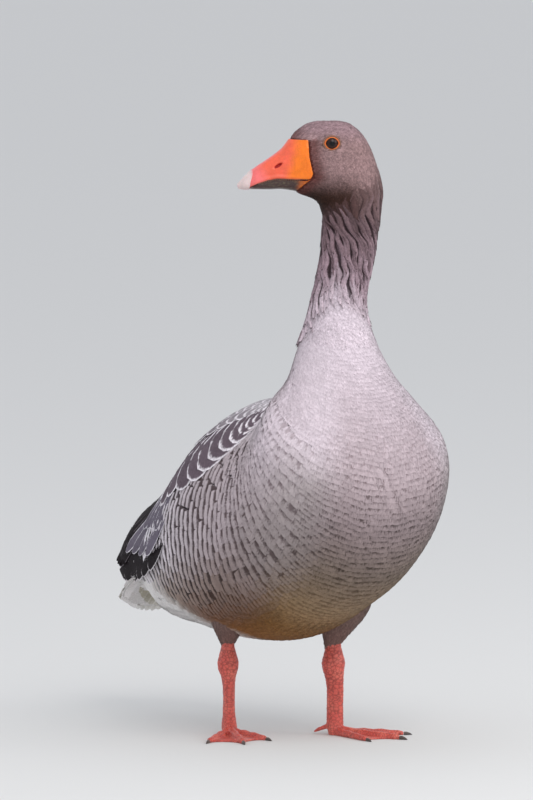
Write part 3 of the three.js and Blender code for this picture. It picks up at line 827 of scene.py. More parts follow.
class Planting:
    """Feathers rooted at places u, v of a chart, each with its own length, width, climb and turn."""

    def __init__(self, chart, u, v, length, width, rise, sink, skew=0.0, camber=0.06, window=None, sides=1.0):
        """rise is a vane's climb for each millimetre, sink how deep its root lies, and skew its turn.

        camber is its arch as a share of its width, window the part of the chart that the unwrap shows, and
        sides how much its sides count as rim. reach, path and most_v may be set afterwards: how far the rim
        reaches in from the tip, how the shafts bend over the chart, and the highest v.
        """
        self.chart, self.u, self.v = chart, u, v
        numbers = (length, width, rise, sink, skew, camber, sides)
        spread = [np.broadcast_to(np.asarray(x, float), (len(u),)) for x in numbers]
        self.length, self.width, self.rise, self.sink, self.skew, self.camber, self.sides = spread
        self.reach = self.width / 2
        self.path = None
        self.most_v = None
        self.per_u, self.per_v = chart.scales(u, v, self.length)
        self.window = window or (u.min() - 1e-3, u.max() + 1e-3, v.min() - 1e-3, v.max() + 1e-3)

    def lay(self, along, side, w, above):
        """Points and normals for places along and beside each feather's shaft, in millimetres."""
        cos, sin = np.cos(self.skew)[:, None], np.sin(self.skew)[:, None]
        run, cross = along * cos - side * sin, along * sin + side * cos
        pu = self.u[:, None] + self.chart.flow * run / self.per_u[:, None]
        pv = self.v[:, None] + cross / self.per_v[:, None]
        if self.path is not None:
            pv = pv + self.path(pu, self.v[:, None]) - self.path(self.u, self.v)[:, None]
        if self.most_v is not None:
            pv = np.minimum(pv, self.most_v)
        normal = self.chart.normal(pu, pv)
        arch = (1 - w ** 2) * (self.camber * self.width)[:, None]
        height = self.rise[:, None] * along - self.sink[:, None] + arch + above
        return self.chart.place(pu, pv) + normal * height[..., None], normal

    def rim(self, t, w):
        """How near a place is to the vane's tip, 0 to 1 within reach, or to its sides where they count."""
        from_tip = self.length[:, None] * (1 - t) / self.reach[:, None]
        return np.maximum(1 - np.clip(from_tip, 0, 1), np.abs(w) * self.sides[:, None])

    def patch(self, side, t):
        """Places on the unwrap: a small patch for each feather, where its root lies in the window."""
        u_low, u_high, v_low, v_high = self.window
        across = (self.v[:, None] - v_low) / (v_high - v_low)
        down = (self.u[:, None] - u_low) / (u_high - u_low)
        x = BORDER + (1 - 2 * BORDER) * across + side / self.width[:, None] * PATCH
        y = BORDER + (1 - 2 * BORDER) * down + (np.clip(t, 0, 1) - 0.5) * PATCH
        return np.clip(np.stack([x, y], -1), 0, 1)


def faced_out(faces, top, points, normals):
    """Each feather's triangles, turned so that they face the way of its normals, the underside's too.

    Where the body is hollow the underside can show, and it is shaded with the same normals.
    """
    a, b, c = (points[:, faces[top, i]] for i in range(3))
    facing = (np.cross(b - a, c - a) * normals[:, faces[top, 0]]).sum((1, 2)) > 0
    return np.where((facing[:, None] == top[None, :])[..., None], faces[None], faces[None, :, ::-1])


def safe_normals(faces, top, points, normals):
    """The shading normals, or the mesh's own where a feather bends round so far that they disagree."""
    rows = np.arange(len(points))[:, None]
    chosen = faces[:, top]
    a, b, c = (points[rows, chosen[..., i]] for i in range(3))
    across = np.cross(b - a, c - a)
    own = np.zeros_like(points)
    for i in range(3):
        np.add.at(own, (rows, chosen[..., i]), across)
    own, wanted = unit(own + 1e-9), unit(normals)
    agree = (own * wanted).sum(-1, keepdims=True)
    return np.where(agree < 0.25, own, wanted)


def batch_of(planting, points, faces, normals, rim, tones, shade, places):
    """A batch of feathers or barbs for coat_piece.

    tones holds each feather's dark middle, its pale fringe and the fringe's share. places holds each corner's
    share of the length, and its millimetres along and beside the shaft.
    """
    t, along, side = places
    dark, pale, share = tones
    ones = np.ones(side.shape + (1,))
    pale_share = np.broadcast_to(np.asarray(share, float), (len(side),))[:, None, None] * ones
    seed = random.uniform(0, 100, len(side))[:, None]
    return {
        "points": points, "faces": faces, "normals": normals, "rim": rim, "dark": dark[:, None, :] * shade,
        "pale": np.concatenate([pale[:, None, :] * shade, pale_share], -1),
        "grain": np.stack([along, side, seed * ones[..., 0]], -1), "patch": planting.patch(side, t),
    }


def vanes(planting, shape, tones, thick=0.4, across=3):
    """The vanes themselves, each closed, with a number of corners across its upper side."""
    t, w, scale, low, faces, top = vane_template(shape, across)
    count = len(planting.u)
    along = t[None, :] * planting.length[:, None]
    side = (w * scale)[None, :] * planting.width[:, None] / 2
    points, normal = planting.lay(along, side, w[None, :], -low[None, :] * thick)
    flow = unit(points[:, -1] - points[:, 0])[:, None, :]
    aside = np.cross(normal, flow)
    to_side = np.sign((aside[:, 0] * (points[:, 3] - points[:, 1])).sum(-1))[:, None]
    arch = 4 * planting.camber[:, None] * w[None, :] * to_side
    lean = normal - flow * planting.rise[:, None, None] + aside * arch[..., None]
    faces = faced_out(faces, top, points, normal)
    lean = safe_normals(faces, top, points, lean)
    rim = planting.rim(t[None, :], w[None, :] * np.ones((count, 1)))
    even = np.ones(side.shape + (1,))
    return batch_of(planting, points, faces, lean, rim, tones, even, (t[None, :], along, side))


BARB_CORNERS = 4
BARB_FACES = np.array([(0, 1, 3), (1, 2, 3), (2, 0, 3), (0, 2, 1)])


def barbs(planting, shape, tones, number, length, width, start=0.42, splay=0.5, lift=0.15):
    """Loose barbs over the part of each vane that shows, which carry its colours past its edge."""
    count = len(planting.u)

    def flat(values):
        return values.reshape(count, number * BARB_CORNERS)

    def for_corners(values):
        return flat(np.repeat(values[..., None], BARB_CORNERS, -1))

    t = random.uniform(start, 0.99, (count, number))
    w = random.uniform(-0.95, 0.95, (count, number))
    profile = np.interp(t, (0.0, *shape["at"], 1.0), (0.3, *shape["wide"], 0.25))
    along = t * planting.length[:, None]
    side = w * profile * planting.width[:, None] / 2
    way = w * splay + random.uniform(-0.18, 0.18, t.shape)
    reach = length * random.uniform(0.6, 1.25, t.shape)
    step, slip = width / 2 * np.sin(way), width / 2 * np.cos(way)
    corner_along = flat(np.stack([along + step, along - step, along, along + reach * np.cos(way)], -1))
    corner_side = flat(np.stack([side - slip, side + slip, side, side + reach * np.sin(way)], -1))
    drop = -0.65 * planting.rise[:, None] * reach
    above = flat(np.stack([0 * t + lift, 0 * t + lift, 0 * t - 0.25, lift + drop], -1))
    points, normal = planting.lay(corner_along, corner_side, for_corners(w), above)
    faces = (BARB_FACES[None] + BARB_CORNERS * np.arange(number)[:, None, None]).reshape(-1, 3)
    a, b, c = points[:, 0::4], points[:, 1::4], points[:, 3::4]
    facing = (np.cross(b - a, c - a) * normal[:, 0::4]).sum(-1) > 0
    faces = np.where(np.repeat(facing, len(BARB_FACES), 1)[..., None], faces[None], faces[None, :, ::-1])
    flow = unit(points[:, 3] - (points[:, 0] + points[:, 1]) / 2)[:, None, :]
    lean = normal - flow * planting.rise[:, None, None]
    rim = for_corners(planting.rim(t, w))
    shade = for_corners(random.uniform(0.9, 1.1, t.shape))[..., None]
    places = (corner_along / planting.length[:, None], corner_along, corner_side)
    return batch_of(planting, points, faces, lean, rim, tones, shade, places)


# What a batch holds for each corner, and how many numbers that is, and what the materials read of it
BATCH_SIZES = {"points": 3, "normals": 3, "dark": 3, "pale": 4, "rim": 1, "grain": 3, "patch": 2}
PAINTED = {"dark": "FLOAT_COLOR", "pale": "FLOAT_COLOR", "rim": "FLOAT", "grain": "FLOAT_VECTOR"}


def coat_piece(name, batches, material):
    """One mesh of feathers from its batches."""
    base, faces = 0, []
    for batch in batches:
        count, per = batch["points"].shape[:2]
        faces.append((batch["faces"] + (base + np.arange(count) * per)[:, None, None]).reshape(-1, 3))
        base += count * per
    faces = np.concatenate(faces)
    whole = {}
    for key, size in BATCH_SIZES.items():
        whole[key] = np.concatenate([batch[key].reshape(-1, size) for batch in batches])
    mesh = bpy.data.meshes.new(name)
    mesh.vertices.add(base)
    mesh.vertices.foreach_set("co", to_row(whole["points"]).astype(np.float32).ravel())
    mesh.loops.add(faces.size)
    mesh.loops.foreach_set("vertex_index", faces.ravel().astype(np.int32))
    mesh.polygons.add(len(faces))
    mesh.polygons.foreach_set("loop_start", np.arange(0, faces.size, 3, dtype=np.int32))
    mesh.polygons.foreach_set("use_smooth", np.ones(len(faces), bool))
    mesh.update(calc_edges=True)
    layer = mesh.uv_layers.new(name="OFBake")
    layer.data.foreach_set("uv", whole["patch"][faces.ravel()].astype(np.float32).ravel())
    for key, kind in PAINTED.items():
        paint(mesh, key, whole[key], kind)
    mesh.normals_split_custom_set_from_vertices(unit(whole["normals"]).tolist())
    mesh.materials.append(material)
    piece = link_new(name, mesh)
    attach(piece, "root")


# ---------------------------------------------------------------- rows of feathers on the body
# Millimetres between rows, and between the feathers of a row, by station: on front and belly, flank and back
ROW_SPACING = (
    ([60, 130, 250, 320, 400, 440, 540, 600, 660, 700], [9, 7, 6, 7, 6.6, 5, 4.2, 3.6, 2.4, 1.9]),
    ([40, 120, 240, 330, 400, 440, 540, 600, 660, 700], [6.4, 6.8, 7.2, 7, 6.4, 5, 4.2, 3.6, 2.4, 1.9]),
    ([40, 300, 400, 470, 540, 600, 660, 700], [12, 12, 9, 6, 4.2, 3.6, 2.4, 1.9]),
)
FEATHER_SPACING = (
    ([60, 130, 250, 320, 400, 440, 500, 560, 600, 660, 700], [11, 9, 8, 10, 10, 7, 5, 2.7, 2.6, 2.2, 1.9]),
    ([40, 120, 240, 330, 400, 440, 500, 560, 600, 660, 700], [18, 19, 18, 13, 10, 7, 5, 2.7, 2.6, 2.2, 1.9]),
    ([40, 300, 400, 470, 540, 600, 660, 700], [18, 18, 13, 8, 3, 2.6, 2.2, 1.9]),
)


def row_spacing(station, b):
    """How far apart rows of feathers are, in millimetres."""
    return by_region([np.interp(station, *table) for table in ROW_SPACING], b)


def feather_width(station, b):
    """How far apart feathers are within a row, in millimetres."""
    return by_region([np.interp(station, *table) for table in FEATHER_SPACING], b)


def row_stations(start, stop, spacing, sides):
    """Stations of rows that lie the given distance apart where the surface is longest on those sides."""
    found, at = [], start
    while at < stop:
        found.append(at)
        stretch = np.linalg.norm(body.at(body.du, np.full(len(sides), at), np.radians(sides)), axis=-1).max()
        at += spacing(at) / max(stretch, 0.5)
    return np.array(found)


# The flank's rows: their upper and lower edge in degrees from the back line, and their front end's station
FLANK_TOP, FLANK_BOTTOM, FLANK_FRONT = 46, 130, 424
# Degrees that the lower edge wanders, the stations to a radian of that, and degrees that other rows overlap
EDGE_WAVE, EDGE_LENGTH, EDGE_OVERLAP = 6, 23, 7
# How far forward the flank's rows bend at its upper edge, in millimetres by station, towards the shoulder
SWEEP = ([40, 110, 225, 345, 378, 424], [0, 114, 114, 0, -14, 0])
SWEEP_REACH = 28.0
# Millimetres round the flank for each degree
DEGREE = 2.2
# How far the rows run on under the wing's feathers, as a share of the wing's height
UNDER_WING = 0.13
# The rows of the breast wander: millimetres, waves round the body, and stations to a radian of their turning
ROW_WAVES = ((1.7, 6, 26), (0.9, 15, -17))
# The flank's own rows: millimetres between them by station
FLANK_ROWS = ([40, 120, 240, 330, 390, 424], [8.6, 9.8, 9.6, 8.4, 7.4, 5.6])
FIRST_ROW = 30.0
# How far each row is shifted from the one before, for each feather's width, so that feathers don't line up
ROW_OFFSET = 0.618


def sweep(station, b):
    """How many millimetres a flank row bends forward near the back, how steeply, and how rows close up."""
    near = np.exp(-(b - FLANK_TOP) * DEGREE / SWEEP_REACH)
    push = np.interp(station, *SWEEP) * near
    closing = (np.interp(station + 5, *SWEEP) - np.interp(station - 5, *SWEEP)) / 10 * near
    return push, push / SWEEP_REACH, np.maximum(1 + closing, 0.35)


def row_roots(j, station, step, on_flank):
    """Root places in one row: station, angle, distance to the next row and turn."""
    angles = np.arange(body.columns) * body.v_step
    b = fold(angles)
    stretch = np.linalg.norm(body_smooth.at(body_smooth.du, np.full(body.columns, station), angles), axis=-1)
    push, steep, closing = sweep(station, b) if on_flank else (0 * b, 0 * b, 1 + 0 * b)
    wave = sum(height * np.sin(angles * number + station / length) for height, number, length in ROW_WAVES)
    wave = wave * (1 - on_flank) * smooth(300, 340, station) * (1 - smooth(440, 480, station))
    here = station + (push + wave) / np.maximum(stretch, 0.4)
    limit = FLANK_BOTTOM + EDGE_WAVE * math.sin(station / EDGE_LENGTH) - (0 if on_flank else EDGE_OVERLAP)
    flank = (b > FLANK_TOP) & (b < limit) & (station < FLANK_FRONT)
    # Where rows crowd together only every second, fourth, eighth or sixteenth one is planted
    level = np.clip(np.round(np.log2(row_spacing(station, b) / (step * stretch) + 1e-6)), 0, 4).astype(int)
    level = np.where((station < STATION["throat base"]) & (b > 50) | on_flank, 0, level)
    keep = ((j % (2 ** level)) == 0) & (flank == on_flank)
    covered = np.interp(body.at(wing_u, here, angles), *COVER_FROM) - UNDER_WING
    keep &= body.at(on_wing, here, angles) > covered
    segment = np.linalg.norm(body_smooth.at(body_smooth.dv, here, angles), axis=-1)
    segment = segment * body.v_step * np.hypot(1, steep)
    total = np.concatenate([[0], np.cumsum(segment / feather_width(station, b) * keep)])
    count = int(total[-1])
    if count < 1:
        return np.zeros((0, 4))
    wanted = (np.arange(count) + (j * ROW_OFFSET) % 1 + random.uniform(-0.1, 0.1, count)) % total[-1]
    found = np.interp(wanted, total, np.concatenate([angles, [FULL_TURN]]))
    at = [np.interp(found, angles, x) for x in (here, steep, stretch * closing, level)]
    turn = np.arctan(at[1]) * np.sign(found - math.pi)
    spacing = step * at[2] * 2.0 ** at[3] * np.cos(turn)
    return np.stack([at[0] + random.uniform(-0.06, 0.06, count) * step, found, spacing, turn], -1)


def plant_rows():
    """Root places of all body feathers. The flanks have rows of their own, and the rest shares its rows."""
    other_rows = row_stations(
        FIRST_ROW, BODY_END - 2, lambda at: min(row_spacing(at, 180.0), row_spacing(at, 90.0)), (180, 270),
    )
    first_free = other_rows[other_rows >= FLANK_FRONT][0]
    flank_rows = row_stations(FIRST_ROW, first_free, lambda at: np.interp(at, *FLANK_ROWS), (90, 270))
    # The last of them comes to lie on the first free row, and gives way to it
    spread, last = first_free - FIRST_ROW, flank_rows[-1] - FIRST_ROW
    flank_rows = FIRST_ROW + (flank_rows[:-1] - FIRST_ROW) * spread / last
    roots = []
    for on_flank, stations in ((True, flank_rows), (False, other_rows)):
        steps = np.gradient(stations)
        for j, station in enumerate(stations):
            roots.append(row_roots(j, station, steps[j], on_flank))
    return np.concatenate(roots)


# Millimetres that feathers keep off the bill and off the eye's ring, and the ring's height for its width
FACE_GAP, EYE_GAP, EYE_HIGH = 0.8, 1.2, 0.94


def clear_of_face(u, v, length):
    """True for feathers that stay off the bill and off the ring of the eye."""
    ok = np.ones(len(u), bool)
    for share in (0.0, 0.5, 1.0):
        stretch = np.linalg.norm(body_smooth.at(body_smooth.du, u, v), axis=-1)
        forward, up, _ = in_head(body_smooth.place(u - share * length / np.maximum(stretch, 0.3), v))
        if share == 0:
            ok &= ~((forward > face_line(up) - FACE_GAP) & (u > STATION["cheeks"] - 8))
        gap = np.hypot(forward - EYE["forward"], (up - EYE["up"]) / EYE_HIGH)
        ok &= ~((gap < EYE["ring"] + EYE_GAP) & (u > STATION["back of head"]))
    return ok


roots = plant_rows()
root_b = fold(roots[:, 1])
# A feather's length for each millimetre between the rows, by station
LENGTH_SHARE = ([60, 300, 430, 540, 640, 700], [2.5, 2.5, 2.8, 2.8, 2.7, 2.5])
body_length = roots[:, 2] * np.interp(roots[:, 0], *LENGTH_SHARE)
kept = clear_of_face(roots[:, 0], roots[:, 1], body_length)
roots, root_b, body_length = roots[kept], root_b[kept], body_length[kept]


def beside_wing(u, v):
    """How near a place on the wing is to the line where the body's feathers begin to cover it, 0 to 1."""
    share = body.at(on_wing, u, v)
    past = share - np.interp(body.at(wing_u, u, v), *COVER_FROM)
    return (1 - smooth(-0.02, 0.1, past)) * (share < 1.6) * (u < STATION["shoulders"] + 30)


NECK_LIFT = 0.26
# How far the tips stand out over the surface, as a share of the lift, and how much lower they lie at a wing
PROUD_SHARE, WING_DIP = 0.55, 0.7


def body_batch(
    chosen, shape, width_share, lift, fringe, barb, tint=0.07, camber=0.06, uneven=0.08, reach=None,
):
    """Feathers on the body at the chosen roots.

    lift is how far a tip stands over the next row's, and reach how far the rim reaches in from the tip, for
    each millimetre between the rows.
    """
    u, v, spacing, turn = roots[chosen].T
    b = root_b[chosen]
    length = body_length[chosen] * random.uniform(1 - uneven, 1 + uneven, len(u))
    width = feather_width(u, b) * width_share * random.uniform(0.92, 1.08, len(u))
    # Up the neck the feathers lie flatter
    lift = np.interp(u, [380, 430], [lift, min(lift, NECK_LIFT)])
    rise = lift / spacing
    shade = varied(tint, len(u))
    share, sides = fringe(u)
    sink = rise * length - PROUD_SHARE * lift + WING_DIP * beside_wing(u, v)
    skew = turn + random.uniform(-0.05, 0.05, len(u))
    planting = Planting(body, u, v, length, width, rise, sink, skew, camber, sides=sides)
    if reach is not None:
        planting.reach = reach * spacing
    dark, pale = markings(u, v)
    tip_dark, tip_pale = markings(u - length / planting.per_u, v)
    tones = ((dark + tip_dark) / 2 * shade, (pale + tip_pale) / 2 * shade, share)
    return [vanes(planting, shape, tones), barbs(planting, shape, tones, **barb)]


# ---------------------------------------------------------------- materials
def new_material(name):
    material = bpy.data.materials.new(name)
    material.use_nodes = True
    tree = material.node_tree
    tree.nodes.clear()
    out = tree.nodes.new("ShaderNodeOutputMaterial")
    shader = tree.nodes.new("ShaderNodeBsdfPrincipled")
    tree.links.new(shader.outputs["BSDF"], out.inputs["Surface"])
    return material, Nodes(tree), shader


class Nodes:
    """Short ways to add the shader nodes that the materials use."""

    def __init__(self, tree):
        self.tree = tree

    def plug(self, node, inputs):
        """Links the sockets among the values to a node's inputs, and sets its inputs to the others."""
        for key, value in inputs.items():
            if isinstance(value, bpy.types.NodeSocket):
                self.tree.links.new(value, node.inputs[key])
            else:
                node.inputs[key].default_value = value

    def put(self, kind, inputs=None, **settings):
        node = self.tree.nodes.new(kind)
        for key, value in settings.items():
            setattr(node, key, value)
        self.plug(node, inputs or {})
        return node

    def attribute(self, name, output="Color"):
        return self.put("ShaderNodeAttribute", attribute_name=name).outputs[output]

    def math(self, operation, a, b=0.0):
        return self.put("ShaderNodeMath", {0: a, 1: b}, operation=operation).outputs[0]

    def range(self, value, low, high, to_low=0.0, to_high=1.0):
        ends = {"Value": value, "From Min": low, "From Max": high, "To Min": to_low, "To Max": to_high}
        return self.put("ShaderNodeMapRange", ends, interpolation_type="SMOOTHSTEP").outputs["Result"]

    def noise(self, vector, scale, detail, rough):
        inputs = {"Vector": vector, "Scale": scale, "Detail": detail, "Roughness": rough}
        return self.put("ShaderNodeTexNoise", inputs).outputs["Fac"]

    def mix(self, share, a, b):
        return self.put("ShaderNodeMix", {0: share, 6: a, 7: b}, data_type="RGBA").outputs[2]

    def scale_colour(self, tone, factor):
        return self.put("ShaderNodeVectorMath", {0: tone, "Scale": factor}, operation="SCALE").outputs[0]

    def bump(self, height, distance, strength):
        inputs = {"Height": height, "Distance": distance, "Strength": strength}
        return self.put("ShaderNodeBump", inputs).outputs[0]

    def object_place(self):
        return self.put("ShaderNodeTexCoord").outputs["Object"]


# How ragged the fringe's edge is, and the barbs' lines: how fine along and across the shaft, and their slant
RAGGED = 0.22
BARB_LINES, BARB_SPREAD, BARB_SLANT = 2.4, 0.35, 1.1
# Scales of noise for each metre: the feathers' speckles, the down and the blotches of horn
FLECK_SCALE, DOWN_SCALE, BLOTCH_SCALE = 420.0, 500.0, 140.0


def feather_material(name, roughness, fringe_soft, speckle, barbs, sheen, gloss):
    """Feathers: a darker middle, a paler fringe with an uneven edge, fine barbs and speckles."""
    material, n, shader = new_material(name)
    grain = n.attribute("grain", "Vector")
    rim = n.attribute("rim", "Fac")
    pale = n.put("ShaderNodeAttribute", attribute_name="pale")
    ragged = n.math("MULTIPLY", n.math("SUBTRACT", n.noise(grain, 0.5, 2.0, 0.6), 0.5), RAGGED)
    middle = n.math("SUBTRACT", 1.0, pale.outputs["Alpha"])
    start, stop = n.math("SUBTRACT", middle, fringe_soft), n.math("ADD", middle, fringe_soft)
    fringe = n.range(n.math("ADD", rim, ragged), start, stop)
    tone = n.mix(fringe, n.attribute("dark"), pale.outputs["Color"])
    along, beside, seed = n.put("ShaderNodeSeparateXYZ", {0: grain}).outputs
    slant = n.math("SUBTRACT", along, n.math("MULTIPLY", n.math("ABSOLUTE", beside), BARB_SLANT))
    fine, broad = n.math("MULTIPLY", slant, BARB_LINES), n.math("MULTIPLY", beside, BARB_SPREAD)
    lines = n.put("ShaderNodeCombineXYZ", {"X": fine, "Y": broad, "Z": seed})
    hair = n.noise(lines.outputs[0], 1.0, 2.0, 0.6)
    fleck = n.noise(n.object_place(), FLECK_SCALE, 3.0, 0.7)
    streaks = n.range(hair, 0.25, 0.75, 1 - barbs, 1 + barbs)
    factor = n.math("MULTIPLY", streaks, n.range(fleck, 0.3, 0.7, 1 - speckle, 1 + speckle))
    n.plug(shader, {
        "Base Color": n.scale_colour(tone, factor), "Normal": n.bump(hair, 0.0004, 0.35),
        "Roughness": roughness, "Specular IOR Level": gloss, "Sheen Weight": sheen, "Sheen Roughness": 0.6,
    })
    return material


def skin_material(name):
    """The down under the feathers, in the same colours and darker."""
    material, n, shader = new_material(name)
    down = n.noise(n.object_place(), DOWN_SCALE, 4.0, 0.7)
    tone = n.scale_colour(n.attribute("dark"), n.range(down, 0.3, 0.7, 0.7, 1.0))
    n.plug(shader, {
        "Base Color": tone, "Normal": n.bump(down, 0.001, 0.6), "Roughness": 0.9, "Specular IOR Level": 0.1,
    })
    return material


# Roughness, softness of the fringe's edge, strength of the speckles and of the barbs, sheen and gloss
BODY_COAT = feather_material("body_feathers", 0.75, 0.1, 0.06, 0.15, 0.06, 0.15)
WING_COAT = feather_material("wing_feathers", 0.6, 0.05, 0.14, 0.16, 0.0, 0.04)
HEAD_COAT = feather_material("head_feathers", 0.8, 0.1, 0.2, 0.15, 0.06, 0.15)


# ---------------------------------------------------------------- body coat
# Each of these gives the pale fringe's share at the tip, by station, and how much it counts along the sides
def no_fringe(u):
    return np.full(len(u), 0.35), np.ones(len(u))


def soft_fringe(u):
    return np.full(len(u), 0.5), np.ones(len(u))


def breast_fringe(u):
    """On the breast the lines break up into rows of dark dashes, and fade higher up."""
    tip = np.interp(u, [290, 340, 390, 440], [0.48, 0.6, 0.65, 0.7]) * random.uniform(0.85, 1.15, len(u))
    return tip, np.interp(u, [290, 345, 400], [0.36, 0.42, 0.56]) * random.uniform(0.85, 1.15, len(u))


def flank_fringe(u):
    """On the flank the pale tips run together into lines."""
    tip = np.interp(u, [60, 200, 300, 400], [0.42, 0.42, 0.48, 0.55])
    return tip, np.interp(u, [200, 300], [0.45, 0.6])


def plant_body():
    u, v = roots[:, 0], roots[:, 1]
    right = v > math.pi
    head = u > STATION["nape"] + 8
    neck = (u > STATION["neck flare"] + 10) & ~head
    trunk = ~head & ~neck
    # The neck's ridges take the place of its feathers where the furrows are strong
    neck &= furrow_strength(u, v) < 0.5
    breast = trunk & (u > STATION["shoulders"]) & (root_b > 60)
    flank = trunk & ~breast & (root_b > 40) & (root_b < 140)
    rest = trunk & ~breast & ~flank
    head_barb = {"number": 5, "length": 2.2, "width": 0.5}
    neck_barb = {"number": 9, "length": 4.0, "width": 0.6, "splay": 0.2}
    breast_barb = {"number": 24, "length": 3.8, "width": 0.7, "splay": 0.3}
    flank_barb = {"number": 40, "length": 1.6, "width": 0.4, "start": 0.6, "splay": 0.12}
    soft_barb = {"number": 34, "length": 5.0, "width": 0.8}
    batches = body_batch(head, SOFT, 1.6, 0.26, no_fringe, head_barb, tint=0.2)
    coat_piece("plumage_head", batches, HEAD_COAT)
    batches = body_batch(neck, SOFT, 1.5, 0.3, no_fringe, neck_barb)
    coat_piece("plumage_neck", batches, HEAD_COAT)
    # Outline, width, lift, fringe, barbs, tint, camber, unevenness and reach
    breast_look = (BROAD, 1.3, 0.5, breast_fringe, breast_barb, 0.07, 0.03, 0.05, 1.2)
    flank_look = (BROAD, 1.2, 0.9, flank_fringe, flank_barb, 0.07, 0.03, 0.03, 1.3)
    for word, half in (("left", ~right), ("right", right)):
        batches = body_batch(breast & half, *breast_look)
        coat_piece(f"plumage_breast_{word}", batches, BODY_COAT)
        batches = body_batch(flank & half, *flank_look)
        coat_piece(f"plumage_flank_{word}", batches, BODY_COAT)
    mantle = rest & (root_b < 90) & (u > STATION["loins"])
    batches = body_batch(rest & ~mantle, ROUND, 1.45, 0.8, soft_fringe, soft_barb)
    batches += body_batch(mantle, BROAD, 1.25, 0.35, flank_fringe, flank_barb, 0.07, 0.03, 0.05, reach=1.2)
    coat_piece("plumage_back_and_belly", batches, BODY_COAT)


# Millimetres between the locks of a ridge, their climb, and the share of their edges painted with the
# furrows' shade
ROPE_STEP, ROPE_CLIMB, ROPE_SHADE_SHARE = 7.0, 0.035, 0.32

def rope_path(u, v):
    """How far a ridge of the neck has wandered round the neck, at a station."""
    wandered = body.at(furrow_wobble, np.clip(u, body.u0, body.u1), v + 0 * u)
    return -FURROW_WOBBLE * wandered * FULL_TURN / FURROWS


def plant_ropes():
    """The neck's ridges: long arched locks, one after the other, with dark furrows between them."""
    bottom, top = STATION["neck flare"] - 10, STATION["back of head"] + 10
    number = int((top - bottom) / ROPE_STEP)
    ridge, place = np.meshgrid(np.arange(FURROWS), np.arange(number), indexing="ij")
    u = (bottom + place * ROPE_STEP + random.uniform(0, ROPE_STEP, ridge.shape)).ravel()
    straight = ((ridge + 0.5) * FULL_TURN / FURROWS).ravel()
    v = straight + rope_path(u, straight)
    strength = furrow_strength(u - 8, v)
    kept = strength > 0.03
    u, v, straight, strength = u[kept], v[kept], straight[kept], strength[kept]
    _, per_v = body_smooth.scales(u, v, np.full(len(u), 20.0))
    width = per_v * FULL_TURN / FURROWS * np.interp(strength, [0, 1], [1.35, 1.26])
    width = width * random.uniform(0.92, 1.1, len(u))
    length = random.uniform(26, 40, len(u)) * np.interp(strength, [0, 1], [0.5, 1.0])
    skew = random.uniform(-0.02, 0.02, len(u))
    camber = 0.4 * strength + 0.04
    planting = Planting(body_smooth, u, v, length, width, ROPE_CLIMB, 1.0 + 1.6 * strength, skew, camber)
    planting.path = lambda pu, pv: rope_path(pu, straight.reshape(-1, *[1] * (np.ndim(pu) - 1)))
    dark, _ = markings(u, v)
    tip_dark, _ = markings(u - length, v)
    tone = (dark * 0.4 + tip_dark * 0.6) * varied(0.1, len(u))
    # The locks' edges and tips take the furrows' colour: painted shade in the grooves, over the feathers'
    # dark bases
    tones = (tone, mix(tone, FURROW_BASE_AND_SHADE, 0.9 * strength), ROPE_SHADE_SHARE)
    batches = [
        vanes(planting, STRAND, tones, across=7),
        barbs(planting, STRAND, tones, 40, 4.4, 0.6, start=0.1, splay=0.12, lift=0.06),
    ]
    coat_piece("plumage_neck_ropes", batches, HEAD_COAT)


plant_body()
plant_ropes()


# ---------------------------------------------------------------- wings, tail and thighs
def sheet_chart(surface, u_end, v_range, columns, outward, **limits):
    """A chart over a wing or the tail, with its feathers pointing to the rear."""
    u = np.linspace(0, u_end, 97)[:, None]
    v = np.linspace(*v_range, columns)[None, :]
    points = surface(u, v)
    return Chart(points, (0, u_end), v_range, False, outward(points), 1, **limits)


def wing_core(points):
    """Places inside the body behind the points of a wing, halfway up it."""
    middle = points[:, points.shape[1] // 2:points.shape[1] // 2 + 1]
    return np.stack([0 * points[..., 0], points[..., 1], middle[..., 2] - 40 + 0 * points[..., 2]], -1)


WING_CHARTS = {
    side: sheet_chart(
        partial(wing_surface, side), WING_END, (-0.35, 1.35), 86,
        lambda points: points - wing_core(points), least_u=12.0, least_v=20.0,
    )
    for side in (LEFT, RIGHT)
}
TAIL_TOP, TAIL_UNDER = [
    sheet_chart(
        partial(tail_surface, depth=depth), TAIL_END, (-1, 1), 60,
        lambda points, up=up: np.array([0, 0, up]) + 0 * points, least_u=8.0, least_v=12.0,
    )
    for depth, up in ((0.0, 1.0), (1.0, -1.0))
]
SCAPULAR = {"dark": colour(104, 91, 100), "pale": colour(236, 229, 235)}
COVERT = {"dark": colour(112, 105, 118), "pale": colour(226, 221, 228)}
QUILL = {"dark": colour(30, 23, 27), "pale": colour(110, 102, 108)}
TIPPED = {"dark": colour(32, 26, 30), "pale": colour(214, 208, 212)}
TAIL_TONE = {"dark": colour(106, 98, 90), "pale": colour(240, 238, 236)}
TAIL_SHADE = {"dark": colour(168, 162, 146), "pale": colour(240, 238, 236)}
WHITE_TONE = {"dark": colour(228, 225, 225), "pale": colour(238, 236, 236)}


